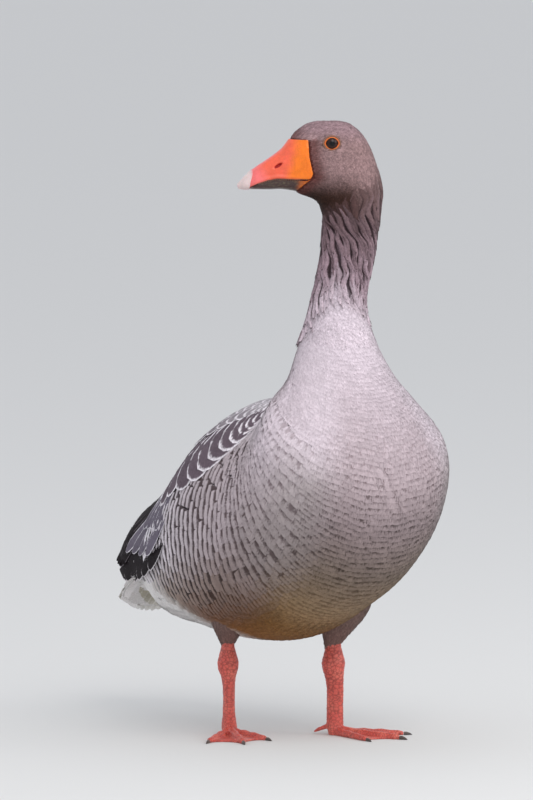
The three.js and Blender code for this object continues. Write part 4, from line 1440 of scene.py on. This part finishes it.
def big_feathers(
    chart, rows, tone, fringe, rise, barb_number, window, sheen_and_dew=0.0, most_v=None, shape=LONG, tip_band=None,
):
    """Large feathers given as rows of (tip u, tip v, length, width, sink, turn towards higher v in degrees).

    The fringe's width is in millimetres. So is that of the band of pale tip, which is as wide as the fringe
    where none is given. Painted sheen, with the white of water drops, pales the feathers high on the wing.
    """
    tip, v, length, width, sink, turn = np.array(rows, float).T
    skew = np.radians(turn)
    root, start_v = tip, v
    for _ in range(4):
        per_u, per_v = chart.scales(root, start_v, length)
        root, start_v = tip - length * np.cos(skew) / per_u, v - length * np.sin(skew) / per_v
    planting = Planting(chart, root, start_v, length, width, rise, sink, skew, 0.015, window)
    share = 2 * fringe / width
    if tip_band is not None:
        planting.reach = tip_band / share
    planting.most_v = most_v
    shade = varied(0.08, len(tip))
    # High on the wing the feathers pale towards their fringe's colour: painted sheen, with the white of water
    # drops
    sheen_and_dew_share = (sheen_and_dew * (1 - smooth(0.2, 0.6, v)))[:, None]
    dark = tone["dark"] * shade * (1 - sheen_and_dew_share) + tone["pale"] * 0.7 * sheen_and_dew_share
    tones = (dark, tone["pale"] * shade, share)
    return [
        vanes(planting, shape, tones, thick=0.7, across=5),
        barbs(planting, shape, tones, barb_number, 2.4, 0.6, start=0.3, splay=0.9, lift=0.1),
    ]


# Tips of the lowest row of scapulars on the photo: u, v, width in millimetres and turn in degrees
SCAPULAR_TIPS = [
    (0.06, 0.47, 26, 14), (0.20, 0.50, 28, 17), (0.34, 0.52, 30, 20), (0.48, 0.55, 33, 24),
    (0.63, 0.585, 37, 28), (0.80, 0.62, 43, 31), (0.99, 0.65, 49, 33), (1.23, 0.69, 56, 34),
    (1.51, 0.72, 63, 38), (1.79, 0.755, 66, 43), (2.1, 0.79, 68, 47), (2.48, 0.82, 66, 49),
    (2.96, 0.84, 58, 49), (3.5, 0.81, 50, 50), (3.95, 0.79, 44, 50),
]
# For each tier: its height as a share of the lowest row's, its width's share, how far back it sits, its
# turn's share, how many millimetres its tips stand up, and the length of a feather, as a base and a share of
# its tip's width
SCAPULAR_TIERS = [
    (1.0, 1.0, 0.0, 1.0, 1.1, 22, 1.2), (0.52, 0.45, 0.15, 0.7, 0.7, 20, 0.45),
    (0.3, 0.42, 0.3, 0.4, 0.5, 20, 0.42), (0.1, 0.4, 0.4, 0.15, 0.4, 20, 0.4),
]
SCAPULAR_CLIMB = 0.035


def scapular_rows():
    """Tiers of large feathers that point back and down, each tier over the one before it."""
    rows = []
    for higher, wide, back, turned, proud, base, longer in SCAPULAR_TIERS:
        for u, v, width, turn in SCAPULAR_TIPS:
            length = base + width * longer
            sink = SCAPULAR_CLIMB * length - proud
            rows.append((u + back, v * higher, length, width * wide, sink, turn * turned))
    return rows


def wing_groups():
    """The folded wing from its lowest layer up: rows, tone, fringe, climb, barbs, painted sheen and dew, and
    highest v.
    """
    lower = np.linspace((4.6, 1.12, 60, 24, 3.4, 10), (6.95, 1.1, 95, 22, 2.6, 14), 6)
    quills = np.linspace((7.9, 0.1, 190, 24, 3.4, 4), (7.15, 0.92, 170, 21, 1.8, 12), 8)
    tertials = np.linspace((6.1, 0.84, 120, 17, 1.6, 10), (4.55, 1.04, 85, 23, 0.5, 14), 4)
    coverts = np.linspace((4.95, 0.76, 75, 22, 0.9, 12), (4.1, 0.92, 55, 26, 0.4, 16), 4)
    return [
        (lower, TIPPED, 1.5, 0.01, 40, 0.0, None), (quills, QUILL, 0.9, 0.008, 60, 0.0, 1.04),
        (tertials, COVERT, 1.2, 0.014, 70, 0.0, None), (coverts, COVERT, 1.5, 0.02, 60, 0.0, 1.0),
        (scapular_rows(), SCAPULAR, 3.2, SCAPULAR_CLIMB, 70, 0.7, 0.985),
    ]


def plant_wings():
    window = (-1.5, WING_END + 0.5, -0.9, 1.3)
    for side, word in SIDES:
        batches = []
        for rows, tone, fringe, rise, number, *limits in wing_groups():
            batches += big_feathers(WING_CHARTS[side], rows, tone, fringe, rise, number, window, *limits)
        coat_piece(f"plumage_wing_{word}", batches, WING_COAT)


# The tail's fan: how far out its white outer feathers begin, and the feathers in a fan
OUTER_FAN, FAN_FEATHERS = 0.6, 13
# How far along the tail the coverts' last row reaches, above and below
COVERT_REACH = {"above": 2.3, "below": 1.2}
COVERT_TIERS = 4


def tail_coverts(chart, reach, window):
    """Tiers of short white feathers over the root of the tail."""
    batches = []
    for tier in range(COVERT_TIERS):
        number = 9 - tier
        places = np.linspace(-1, 1, number) + random.uniform(-0.04, 0.04, number)
        row = [(reach - 0.7 * tier, x * 0.9, 42.0, 18.0, 1.4 - 0.5 * tier, 6.0 * x) for x in places]
        batches += big_feathers(chart, row, WHITE_TONE, 4.0, 0.04, 50, window, shape=ROUND)
    return batches


def plant_tail():
    window = (-1, TAIL_END + 0.5, -1.1, 1.1)
    places = np.linspace(-0.92, 0.92, FAN_FEATHERS)
    fan = [(4.3 - 0.2 * abs(x), x, 100.0, 19.0, 1.6 + abs(x), 7.0 * x) for x in places]
    fan.sort(key=lambda row: -abs(row[1]))
    outer = [row for row in fan if abs(row[1]) > OUTER_FAN]
    inner = [row for row in fan if abs(row[1]) <= OUTER_FAN]
    batches = big_feathers(TAIL_TOP, outer, WHITE_TONE, 1.9, 0.01, 50, window, tip_band=15.0)
    batches += big_feathers(TAIL_TOP, inner, TAIL_TONE, 1.9, 0.01, 50, window, tip_band=15.0)
    batches += tail_coverts(TAIL_TOP, COVERT_REACH["above"], window)
    batches += big_feathers(TAIL_UNDER, fan, TAIL_SHADE, 0.5, 0.01, 50, window, tip_band=14.0)
    batches += tail_coverts(TAIL_UNDER, COVERT_REACH["below"], window)
    coat_piece("plumage_tail", batches, BODY_COAT)


THIGH_DARK = [(96, (122, 96, 90)), (112, (118, 92, 86)), (130, (116, 94, 88)), (170, (120, 98, 88))]
THIGH_TOP, THIGH_ROW = 165.0, 4.2
# The thigh's mean radius by height, and how far apart its feathers are
THIGH_RADIUS = ([99, 113, 128], [9, 17, 25])
THIGH_SPACING = 5.5


def plant_thighs():
    height = np.linspace(CUFF_HEIGHT, THIGH_TOP, 34)[:, None]
    angles = around(72)[None, :]
    for side, word in SIDES:
        points = thigh_surface(side, height, angles)
        outward = points - points.mean(1, keepdims=True)
        chart = round_chart(points, (CUFF_HEIGHT, THIGH_TOP), outward, least_u=0.5, least_v=6.0)
        u, v = [], []
        for j, at in enumerate(np.arange(CUFF_HEIGHT + 5, 150, THIGH_ROW)):
            number = int(FULL_TURN * float(np.interp(at, *THIGH_RADIUS)) / THIGH_SPACING)
            u.append(at + random.uniform(-0.6, 0.6, number))
            turned = np.arange(number) + (j % 2) / 2 + random.uniform(-0.1, 0.1, number)
            v.append(turned * FULL_TURN / number)
        u, v = np.concatenate(u), np.concatenate(v)
        planting = Planting(chart, u, v, 12.5, 8.0, 0.16, 1.4, random.uniform(-0.1, 0.1, len(u)))
        tone = ramp(THIGH_DARK, u) * varied(0.08, len(u))
        tones = (tone, tone * 1.3, 0.3)
        batches = [vanes(planting, SOFT, tones), barbs(planting, SOFT, tones, 14, 3.6, 0.7)]
        coat_piece(f"plumage_thigh_{word}", batches, BODY_COAT)


plant_wings()
plant_tail()
plant_thighs()


# ---------------------------------------------------------------- the skin
# How deep the skin lies under the outline, in millimetres by station, and under the bill
SKIN_DEPTH = ([0, 60, 300, 440, 540, 600, 650, 690], [2.2, 2.8, 2.8, 2.6, 3.0, 3.0, 1.6, 1.1])
BILL_DEPTH = 2.6


def filled_part():
    """The trunk with the steps under its wings filled, without the ends of the chart."""
    return loft_object("filled_part", body_smooth.points[4:208:2, ::2])


# The columns of a wing's chart that lie between the wing's own edges
OWN_COLUMNS = slice(16, 72)


def near_wing(points):
    """How near points are to a folded wing's feathers, 0 to 1, and how far along the wing they lie."""
    charts = [WING_CHARTS[side].points[:, OWN_COLUMNS] for side in (LEFT, RIGHT)]
    places = np.concatenate([c.reshape(-1, 3) for c in charts])
    along = np.concatenate([np.repeat(np.linspace(0, WING_END, len(c)), c.shape[1]) for c in charts])
    tree = kd_tree(places)
    found = [tree.find(p) for p in points]
    gap = np.array([f[2] for f in found])
    return 1 - smooth(5.0, 9.0, gap), along[[f[1] for f in found]]


def make_skin():
    parts = [body_part(), filled_part(), wing_part(LEFT), wing_part(RIGHT), tail_part()]
    skin = fuse("skin", parts + [thigh_part(LEFT), thigh_part(RIGHT)], SKIN_VOXEL, SKIN_ROUNDS)
    points, normals = points_of(skin), normals_of(skin)
    tree = kd_tree(body_smooth.points.reshape(-1, 3))
    near = np.array([tree.find(p)[1] for p in points])
    station, angle = body_u.ravel()[near], body_v.ravel()[near]
    forward, up, _ = in_head(points)
    bill = (station > STATION["cheeks"]) & (forward > face_line(up) - 1)
    depth = np.where(bill, BILL_DEPTH, np.interp(station, *SKIN_DEPTH))
    move_points(skin, points - normals * depth[:, None])
    dark, pale = markings(station, angle)
    tone = dark * 0.6 + pale * 0.4
    on_folded_wing, along_wing = near_wing(points)
    # Behind the flank's feathers the skin looks like the wing: like its quills towards the end
    hidden = mix(SCAPULAR["dark"] * 0.6, QUILL["dark"], smooth(4.2, 4.8, along_wing))
    paint(skin.data, "dark", mix(tone, hidden, on_folded_wing))
    skin.data.materials.append(skin_material("under_down"))
    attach(skin, "root")
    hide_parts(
        "trunk", "neck_lower", "neck_middle", "neck_upper", "head", "tail", "wing_left", "wing_right",
        "thigh_left", "thigh_right",
    )


make_skin()
bpy.data.objects.remove(outer_form)


# ---------------------------------------------------------------- pieces made from outlines or from CAD nodes
def prism(name, outline, half_depth=45.0):
    """A plate through the head with an outline given as (forward, up)."""
    near = [head_point(f, u, -half_depth) for f, u in outline]
    far = [head_point(f, u, half_depth) for f, u in outline]
    return new_object(name, np.array(near + far), loft_faces(2, len(outline)))


def keep_common(piece, cutter):
    """Cuts a piece down to what it shares with the cutter, which is used up."""
    fix_normals(piece)
    fix_normals(cutter)
    cut = piece.modifiers.new("cut", "BOOLEAN")
    cut.operation = "INTERSECT"
    cut.solver = "EXACT"
    cut.object = cutter
    apply_modifiers(piece)
    bpy.data.objects.remove(cutter)
    return piece


def head_slice(name, outline, grow=1.0, voxel=0.55, rounds=3, first="brow"):
    """The part of the head's loft within an outline, with softly rounded edges."""
    stations = np.linspace(STATION[first], RIB_AT[-1], 110)
    loft = loft_object(name + "_loft", body_loft(stations[:, None], around(96)[None, :], grow))
    return fuse(name, [keep_common(loft, prism(name + "_outline", outline))], voxel, rounds)


def copy_of(node):
    return link_new(node + "_copy", bpy.data.objects[node].data.copy())


def finish_piece(piece, slot_name, material, *nodes):
    """Gives a piece its material and its place in the part, and the CAD nodes that it replaces."""
    piece.data.materials.clear()
    piece.data.materials.append(material)
    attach(piece, "root")
    if nodes:
        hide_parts(*nodes)


def cell_edges(points, size):
    """0 in the middle of rounded cells of about that size, 1 along the furrows between them."""
    near = [noise.voronoi(Vector(p))[0] for p in points / np.asarray(size, float)]
    gaps = np.array([distances[1] - distances[0] for distances in near])
    return 1 - smooth(0.0, 0.22, gaps)


def horn_material(name, roughness, coat, grain_size=900.0):
    """Horn or bare skin whose colours come from the mesh, with a fine uneven surface."""
    material, n, shader = new_material(name)
    grain = n.noise(n.object_place(), grain_size, 4.0, 0.65)
    broad = n.noise(n.object_place(), BLOTCH_SCALE, 3.0, 0.6)
    factor = n.math("MULTIPLY", n.range(grain, 0.3, 0.7, 0.93, 1.05), n.range(broad, 0.3, 0.7, 0.92, 1.07))
    n.plug(shader, {
        "Base Color": n.scale_colour(n.attribute("tone"), factor), "Normal": n.bump(grain, 0.0003, 0.35),
        "Roughness": roughness, "Specular IOR Level": 0.4, "Coat Weight": coat, "Coat Roughness": 0.25,
        "Subsurface Weight": 0.12, "Subsurface Radius": (0.004, 0.0015, 0.0008), "Subsurface Scale": 0.5,
    })
    return material


# ---------------------------------------------------------------- bill
# Outlines in the head's frame as (forward, up): the gape, the feathering's edges, and the pieces' own
MOUTH = [(43, 41), (49, 39), (62, 39), (80, 40), (90, 38), (100, 35), (107.5, 31.4), (110, 24)]
FACE = [(67, 80), (48, 79.5), (47.5, 62), (43, 41)]
CHIN = [(61, 24.5), (53, 32.5), (43, 41)]
UPPER_BILL = FACE + MOUTH[1:] + [(110.5, 0), (160, 0), (160, 160), (80, 100)]
LOWER_BILL = CHIN + [(f, u - 1.3) for f, u in MOUTH[1:]] + [(110.5, 0), (61, 0)]
LINING = [(f, u + 2.5) for f, u in MOUTH] + [(f, u - 4.0) for f, u in MOUTH[::-1]]
NAIL = [(108.4, 22), (107.6, 36), (105, 44), (103, 60), (130, 60), (130, 22)]
# The nostril's middle, its half-length and half-height, its depth and how far it slopes down to the front
NOSTRIL = {"forward": 79.0, "up": 53.5, "long": 5.2, "high": 1.75, "deep": 2.6, "slope": math.radians(32)}
ORANGE, CORAL, SALMON = colour(246, 122, 12), colour(240, 100, 70), colour(240, 118, 122)
# The mouth's lining is dark as painted shade inside the gape
NOSTRIL_RED, MOUTH_SHADE, NAIL_PALE = colour(172, 20, 24), colour(66, 30, 28), colour(226, 204, 202)
TOOTH = colour(150, 120, 96)
# The lower bill's dark brown, painted shade under the upper bill, and bits of green over it
LOWER_BILL_SHADE, BILL_MOSS = colour(66, 44, 40), colour(104, 96, 72)
# The comb on the edges of the bill: from where to where, and how far apart the teeth are
COMB_START, COMB_STOP, COMB_STEP = 55.0, 99.0, 1.9
# Each tooth's rings as (drop under the gape, half-width), and the corners of a ring
TOOTH_RINGS = ((-1.2, 0.62), (0.4, 0.56), (1.3, 0.4), (1.9, 0.14))
TOOTH_CORNERS = 8
# The half-width of the gape by how far forward
GAPE_WIDTH = ([48, 74, 88, 103], [15.4, 13.6, 12.3, 10.3])


def mouth_height(forward):
    return np.interp(forward, *zip(*MOUTH))


def comb_waves(forward):
    return 0.5 + 0.5 * np.cos(forward * FULL_TURN / COMB_STEP)


def nostril_depth(forward, up):
    """How far a place is from the nostril's middle, as a share of the way to its edge."""
    cos, sin = math.cos(NOSTRIL["slope"]), math.sin(NOSTRIL["slope"])
    ahead, above = forward - NOSTRIL["forward"], up - NOSTRIL["up"]
    along, across = ahead * cos - above * sin, ahead * sin + above * cos
    return np.hypot(along / NOSTRIL["long"], across / NOSTRIL["high"])


def shape_upper_bill(piece):
    """The nostrils, the lip over the gape with its groove, the comb and the wrinkles at the root."""
    points, normals = points_of(piece), normals_of(piece)
    forward, up, out = in_head(points)
    side_face = np.abs(normals @ HEAD_LEFT)
    slit = nostril_depth(forward, up)
    above_mouth = up - mouth_height(forward)
    depth = -NOSTRIL["deep"] * (1 - smooth(0.45, 1.05, slit)) * (side_face > 0.5)
    lip = 0.35 * bell(slit - 1.35, 0.3) * (side_face > 0.5)
    edge = 0.55 * bell(above_mouth - 1.6, 1.7) * smooth(48, 56, forward) * side_face
    groove = -0.3 * bell(above_mouth - 5.2, 1.5) * smooth(56, 66, forward)
    groove = groove * (1 - smooth(94, 102, forward)) * side_face
    comb = -0.45 * comb_waves(forward) * bell(above_mouth, 1.5) * (1 - smooth(96, 100, forward))
    wrinkles = 0.16 * noise_at(points * [1, 1, 0.4], 2.2) * (1 - smooth(55, 72, forward))
    uneven = 0.14 * noise_at(points, 6.0, 3.0) + 0.05 * noise_at(points, 1.6, 9.0)
    rim = 0.2 * bell(face_line(up) - forward + 2.2, 2.4)
    move = depth + lip + edge + groove + comb + wrinkles + uneven + rim
    move_points(piece, points + normals * move[:, None])
    rear = 1 - smooth(60, 74, forward + 0.25 * (up - 50) + 2.0 * noise_at(points, 7.0, 5.0))
    top = smooth(7, 2, np.abs(out)) * smooth(66, 84, forward)
    pink = smooth(86, 103, forward + 0.5 * (46 - up))
    paint_tone(piece, layered(
        CORAL, (ORANGE, rear), (SALMON, 0.6 * top), (SALMON, 0.8 * pink),
        (CORAL * 0.8, 0.6 * bell(above_mouth, 2.0) * smooth(52, 60, forward)),
        (NOSTRIL_RED, (1 - smooth(0.6, 1.15, slit)) * (side_face > 0.3)),
    ))


def shape_lower_bill(piece):
    points, normals = points_of(piece), normals_of(piece)
    forward, up, _ = in_head(points)
    comb = -0.3 * comb_waves(forward) * bell(up - mouth_height(forward) + 2.6, 1.1)
    uneven = 0.12 * noise_at(points, 5.0, 3.0) + 0.05 * noise_at(points, 1.6, 9.0)
    move_points(piece, points + normals * (comb + uneven)[:, None])
    # The lower bill is painted darker as shade under the upper bill: dark brown, with its orange root and
    # pale tip at six tenths
    paint_tone(piece, layered(
        LOWER_BILL_SHADE, (BILL_MOSS, 0.6 * smooth(0.0, 0.5, noise_at(points, [2.2, 2.2, 1.1], 7.0))),
        (ORANGE * 0.6, 1 - smooth(52, 62, forward + 3 * noise_at(points, 4.0, 1.0))),
        (NAIL_PALE * 0.6, smooth(103, 110, forward)),
    ))


def shape_nail(piece):
    points, normals = points_of(piece), normals_of(piece)
    ridges = 0.07 * noise_at(points * [1, 1, 3], 3.0, 2.0)
    move_points(piece, points + normals * ridges[:, None])
    paint_tone(piece, mix(SALMON * 0.95, NAIL_PALE, smooth(103, 108, in_head(points)[0])))


def bill_teeth():
    """The fine comb along the edge of the upper bill."""
    teeth, faces = [], []
    for side in (LEFT, RIGHT):
        for forward in np.arange(COMB_START, COMB_STOP, COMB_STEP):
            up = float(mouth_height(forward))
            wide = float(np.interp(forward, *GAPE_WIDTH)) * 0.93
            first = len(teeth)
            for drop, half in TOOTH_RINGS:
                for a in around(TOOTH_CORNERS):
                    ahead, out = half * math.cos(a), wide + 0.7 * half * math.sin(a)
                    teeth.append(head_point(forward + ahead, up - drop, side * out))
            faces += [[first + i for i in face] for face in loft_faces(len(TOOTH_RINGS), TOOTH_CORNERS)]
    piece = new_object("bill_comb", np.array(teeth), faces)
    fix_normals(piece)
    paint_tone(piece, TOOTH)
    return piece


def make_bill():
    horn = horn_material("bill_horn", 0.36, 0.25)
    upper = head_slice("bill_upper", UPPER_BILL)
    shape_upper_bill(upper)
    finish_piece(upper, "bill", horn, "upper_bill")
    # The lower bill and the mouth's lining lie inside the head's loft, and the nail stands out from it
    lower = head_slice("bill_lower", LOWER_BILL, grow=0.94)
    shape_lower_bill(lower)
    finish_piece(lower, "bill", horn, "lower_bill")
    nail = head_slice("bill_tip_nail", NAIL, grow=1.045, voxel=0.45, rounds=6, first="nostrils")
    shape_nail(nail)
    finish_piece(nail, "bill_nail", horn_material("nail_horn", 0.3, 0.35), "bill_nail")
    lining = head_slice("mouth_lining", LINING, grow=0.88, voxel=0.8, rounds=2)
    # The lining is painted dark for the shade inside the gape
    paint_tone(lining, MOUTH_SHADE)
    finish_piece(lining, "bill", horn)
    finish_piece(bill_teeth(), "bill", horn)


# ---------------------------------------------------------------- eyes
IRIS, PUPIL, EYE_DARK = colour(46, 24, 18), colour(6, 5, 6), colour(20, 12, 10)
LID_ORANGE, LID_RED, LID_FOLD = colour(226, 116, 46), colour(168, 74, 40), colour(132, 96, 82)


def eye_material():
    material, n, shader = new_material("eye_gloss")
    streaks = n.noise(n.attribute("grain", "Vector"), 1.0, 3.0, 0.6)
    n.plug(shader, {
        "Base Color": n.scale_colour(n.attribute("tone"), n.range(streaks, 0.3, 0.7, 0.7, 1.35)),
        "Roughness": 0.3, "Specular IOR Level": 0.1, "Coat Weight": 0.35, "Coat Roughness": 0.04,
    })
    return material


def make_eye(side, word, material):
    rings, corners = 48, 64
    slant = np.linspace(0.02, math.pi - 0.02, rings)[:, None]
    turn = around(corners)[None, :]
    # The cornea stands a little out in front of a ball that stays inside the CAD's
    radius = EYE["radius"] - 0.15 + 0.35 * bell(slant, 0.55) + 0 * turn
    aside = radius * np.sin(slant)
    ahead, above, out = aside * np.cos(turn), aside * np.sin(turn), radius * np.cos(slant)
    points = ahead[..., None] * HEAD_FORWARD + above[..., None] * HEAD_UP + out[..., None] * HEAD_LEFT * side
    eye = loft_object(f"eyeball_{word}", eye_centre(side) + points)
    fix_normals(eye)
    # Everything behind the eye's middle counts as far out, and is dark
    flat = (aside + 100 * (slant > math.pi / 2)).ravel()
    paint_tone(eye, layered(PUPIL, (IRIS, smooth(2.7, 3.0, flat)), (EYE_DARK, smooth(4.9, 5.5, flat))))
    angle = (turn + 0 * slant).ravel()
    grain = np.stack([5 * np.cos(angle), 5 * np.sin(angle), flat * 0.15], -1)
    paint(eye.data, "grain", grain, "FLOAT_VECTOR")
    finish_piece(eye, "eye", material, f"eye_{word}")


def lid_ring(side, wide, high, thick, seat, waves, name):
    """A wrinkled ring round the eye, drawn out to a point at the front and the rear.

    It comes with each corner's place from the ring's inner edge, -1, to its outer edge, 1.
    """
    steps, corners = 144, 14
    turn, round_it = around(steps)[:, None], around(corners)[None, :]
    folds = 1 + 0.10 * np.sin(turn * waves) + 0.06 * np.sin(turn * 17 + 1) + 0 * round_it
    radial = thick * folds * np.cos(round_it)
    lift = 0.85 * thick * folds * np.sin(round_it)
    point_out = 1 + 0.07 * np.abs(np.cos(turn)) ** 8
    along = (wide * point_out + radial) * np.cos(turn)
    above = (high + radial) * np.sin(turn)
    out = (seat + lift)[..., None] * HEAD_LEFT * side
    points = eye_centre(side) + (along[..., None] * HEAD_FORWARD + above[..., None] * HEAD_UP + out)
    ring = np.arange(steps * corners).reshape(steps, corners)
    after = np.roll(ring, -1, 0)
    faces = np.stack([ring, np.roll(ring, -1, 1), np.roll(after, -1, 1), after], -1).reshape(-1, 4)
    piece = new_object(name, points.reshape(-1, 3), faces)
    fix_normals(piece)
    return piece, (radial / thick).ravel()


def make_eyes():
    gloss = eye_material()
    bare = horn_material("lid_skin", 0.5, 0.1, 1500.0)
    seat = math.sqrt(EYE["radius"] ** 2 - EYE["ring"] ** 2)
    for side, word in SIDES:
        make_eye(side, word, gloss)
        lid, radial = lid_ring(side, 6.7, 5.8, 0.8, seat + 0.6, 41, f"lid_{word}")
        paint_tone(lid, mix(LID_ORANGE, LID_RED, smooth(0.3, -0.9, radial) * 0.8))
        finish_piece(lid, "eyelid", bare, f"eyelid_{word}")
        lid_fold, _ = lid_ring(side, 8.3, 7.5, 1.0, seat + 0.15, 29, f"lid_fold_{word}")
        paint_tone(lid_fold, LID_FOLD)
        finish_piece(lid_fold, "eyelid", bare)


# ---------------------------------------------------------------- legs and feet
LEG_CORAL, LEG_PALE, LEG_DARK = colour(214, 94, 82), colour(230, 126, 108), colour(140, 52, 48)
CLAW_DARK, CLAW_TIP = colour(58, 48, 46), colour(96, 84, 78)


SHANK_SCALES, FOOT_SCALES = (4.4, 4.4, 3.3), (2.7, 2.7, 2.7)
SOLE_HEIGHT, CLAW_HEIGHT = 0.05, 4.0


def shape_leg(leg, side):
    """The leg's scales, with furrows that are shallow on top of the webs and fade out on the sole."""
    points, normals = points_of(leg), normals_of(leg)
    height = points[:, 2]
    on_shank = smooth(9, 16, height)
    place = points - leg_place(side)
    flat_up = smooth(0.75, 0.95, np.abs(normals[:, 2])) * (1 - on_shank)
    edges = cell_edges(place, SHANK_SCALES) * on_shank + cell_edges(place, FOOT_SCALES) * (1 - on_shank)
    deep = 0.42 * on_shank + (0.3 - 0.12 * flat_up) * (1 - on_shank)
    swell = 0.25 * noise_at(place, 9.0, 4.0)
    sole = smooth(1.2, 0.2, height)
    move = (swell - edges * deep) * (1 - sole)
    points = points + normals * move[:, None]
    points[:, 2] = np.maximum(points[:, 2], SOLE_HEIGHT)
    move_points(leg, points)
    pale = smooth(-0.3, 0.6, noise_at(place, 12.0, 7.0)) * 0.6
    # The furrows between the scales are darker, and the lowest part of the foot too, as painted shade where
    # it meets the floor
    dark = np.clip(edges * 0.75 + 0.3 * sole, 0, 1)
    paint_tone(leg, layered(LEG_CORAL, (LEG_PALE, pale), (LEG_DARK, dark)))


def make_legs():
    scales = horn_material("leg_scales", 0.48, 0.15, 1100.0)
    claws = horn_material("claw_horn", 0.35, 0.3)
    for side, word in SIDES:
        leg = fuse(f"leg_{word}", [copy_of(f"shank_{word}"), copy_of(f"foot_{word}")], voxel=0.8, rounds=5)
        shape_leg(leg, side)
        finish_piece(leg, "leg_skin", scales, f"shank_{word}", f"foot_{word}")
        for toe in ("inner", "middle", "outer"):
            claw = fuse(f"nail_{word}_{toe}", [copy_of(f"claw_{word}_{toe}")], voxel=0.35, rounds=4)
            height = points_of(claw)[:, 2:3] / CLAW_HEIGHT
            paint_tone(claw, CLAW_DARK + (CLAW_TIP - CLAW_DARK) * np.clip(height, 0, 1))
            finish_piece(claw, "claw", claws, f"claw_{word}_{toe}")


make_bill()
make_eyes()
make_legs()


# ---------------------------------------------------------------- camera, light and floor
VIEW_AZIMUTH, VIEW_ELEVATION = math.radians(-37.0), math.radians(5.5)
VIEW_DISTANCE = 10.0
AIM_RIGHT, AIM_UP = -0.0152, 0.353
FRAME_HEIGHT = 0.8384
SENSOR = 36.0


def add_camera():
    boxes = [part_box(f"shank_{word}") for _, word in SIDES]
    middle = sum((low + high for low, high in boxes), Vector()) / 4
    level, rise = math.cos(VIEW_ELEVATION), math.sin(VIEW_ELEVATION)
    back = Vector((math.sin(VIEW_AZIMUTH) * level, -math.cos(VIEW_AZIMUTH) * level, rise))
    right = Vector((math.cos(VIEW_AZIMUTH), math.sin(VIEW_AZIMUTH), 0))
    up = back.cross(right)
    target = Vector((middle.x, middle.y, AIM_UP)) + right * AIM_RIGHT
    lens = bpy.data.cameras.new("camera")
    lens.sensor_width = SENSOR
    lens.lens = SENSOR * VIEW_DISTANCE / FRAME_HEIGHT
    camera = link_new("camera", lens)
    turn = Matrix((right, up, back)).transposed().to_4x4()
    camera.matrix_world = Matrix.Translation(target + back * VIEW_DISTANCE) @ turn
    bpy.context.scene.camera = camera


def add_light(name, place, aim, size, power_w, tint=(1, 1, 1)):
    light = bpy.data.lights.new(name, "AREA")
    light.shape = "DISK"
    light.size = size
    light.energy = power_w
    light.color = tint
    lamp = link_new(name, light)
    lamp.location = place
    lamp.rotation_euler = (Vector(aim) - Vector(place)).to_track_quat("-Z", "Y").to_euler()


# The light's aim, the colours of the sky and of the floor, and how far the floor reaches
AIM = (0, 0, 0.3)
SKY_COLOUR, SKY_STRENGTH = (0.93, 0.95, 1.0, 1), 0.81
FLOOR_COLOUR, FLOOR_REACH = (0.72, 0.72, 0.71, 1), 60.0


def add_studio():
    world = bpy.data.worlds.new("studio")
    world.use_nodes = True
    sky = world.node_tree.nodes["Background"]
    sky.inputs["Color"].default_value = SKY_COLOUR
    sky.inputs["Strength"].default_value = SKY_STRENGTH
    bpy.context.scene.world = world
    add_light("key", (-0.6, -2.8, 3.2), AIM, 2.6, 64, (1.0, 0.98, 0.95))
    add_light("fill", (1.9, -2.6, 1.9), AIM, 2.0, 20)
    bpy.context.scene.view_settings.view_transform = "Standard"
    floor_mesh = bpy.data.meshes.new("floor")
    corners = [(x * FLOOR_REACH, y * FLOOR_REACH, 0) for x, y in ((-1, -1), (1, -1), (1, 1), (-1, 1))]
    floor_mesh.from_pydata(corners, [], [(0, 1, 2, 3)])
    floor = link_new("floor", floor_mesh)
    material, n, shader = new_material("pale_floor")
    n.plug(shader, {"Base Color": FLOOR_COLOUR, "Roughness": 0.9})
    floor_mesh.materials.append(material)


add_camera()
add_studio()
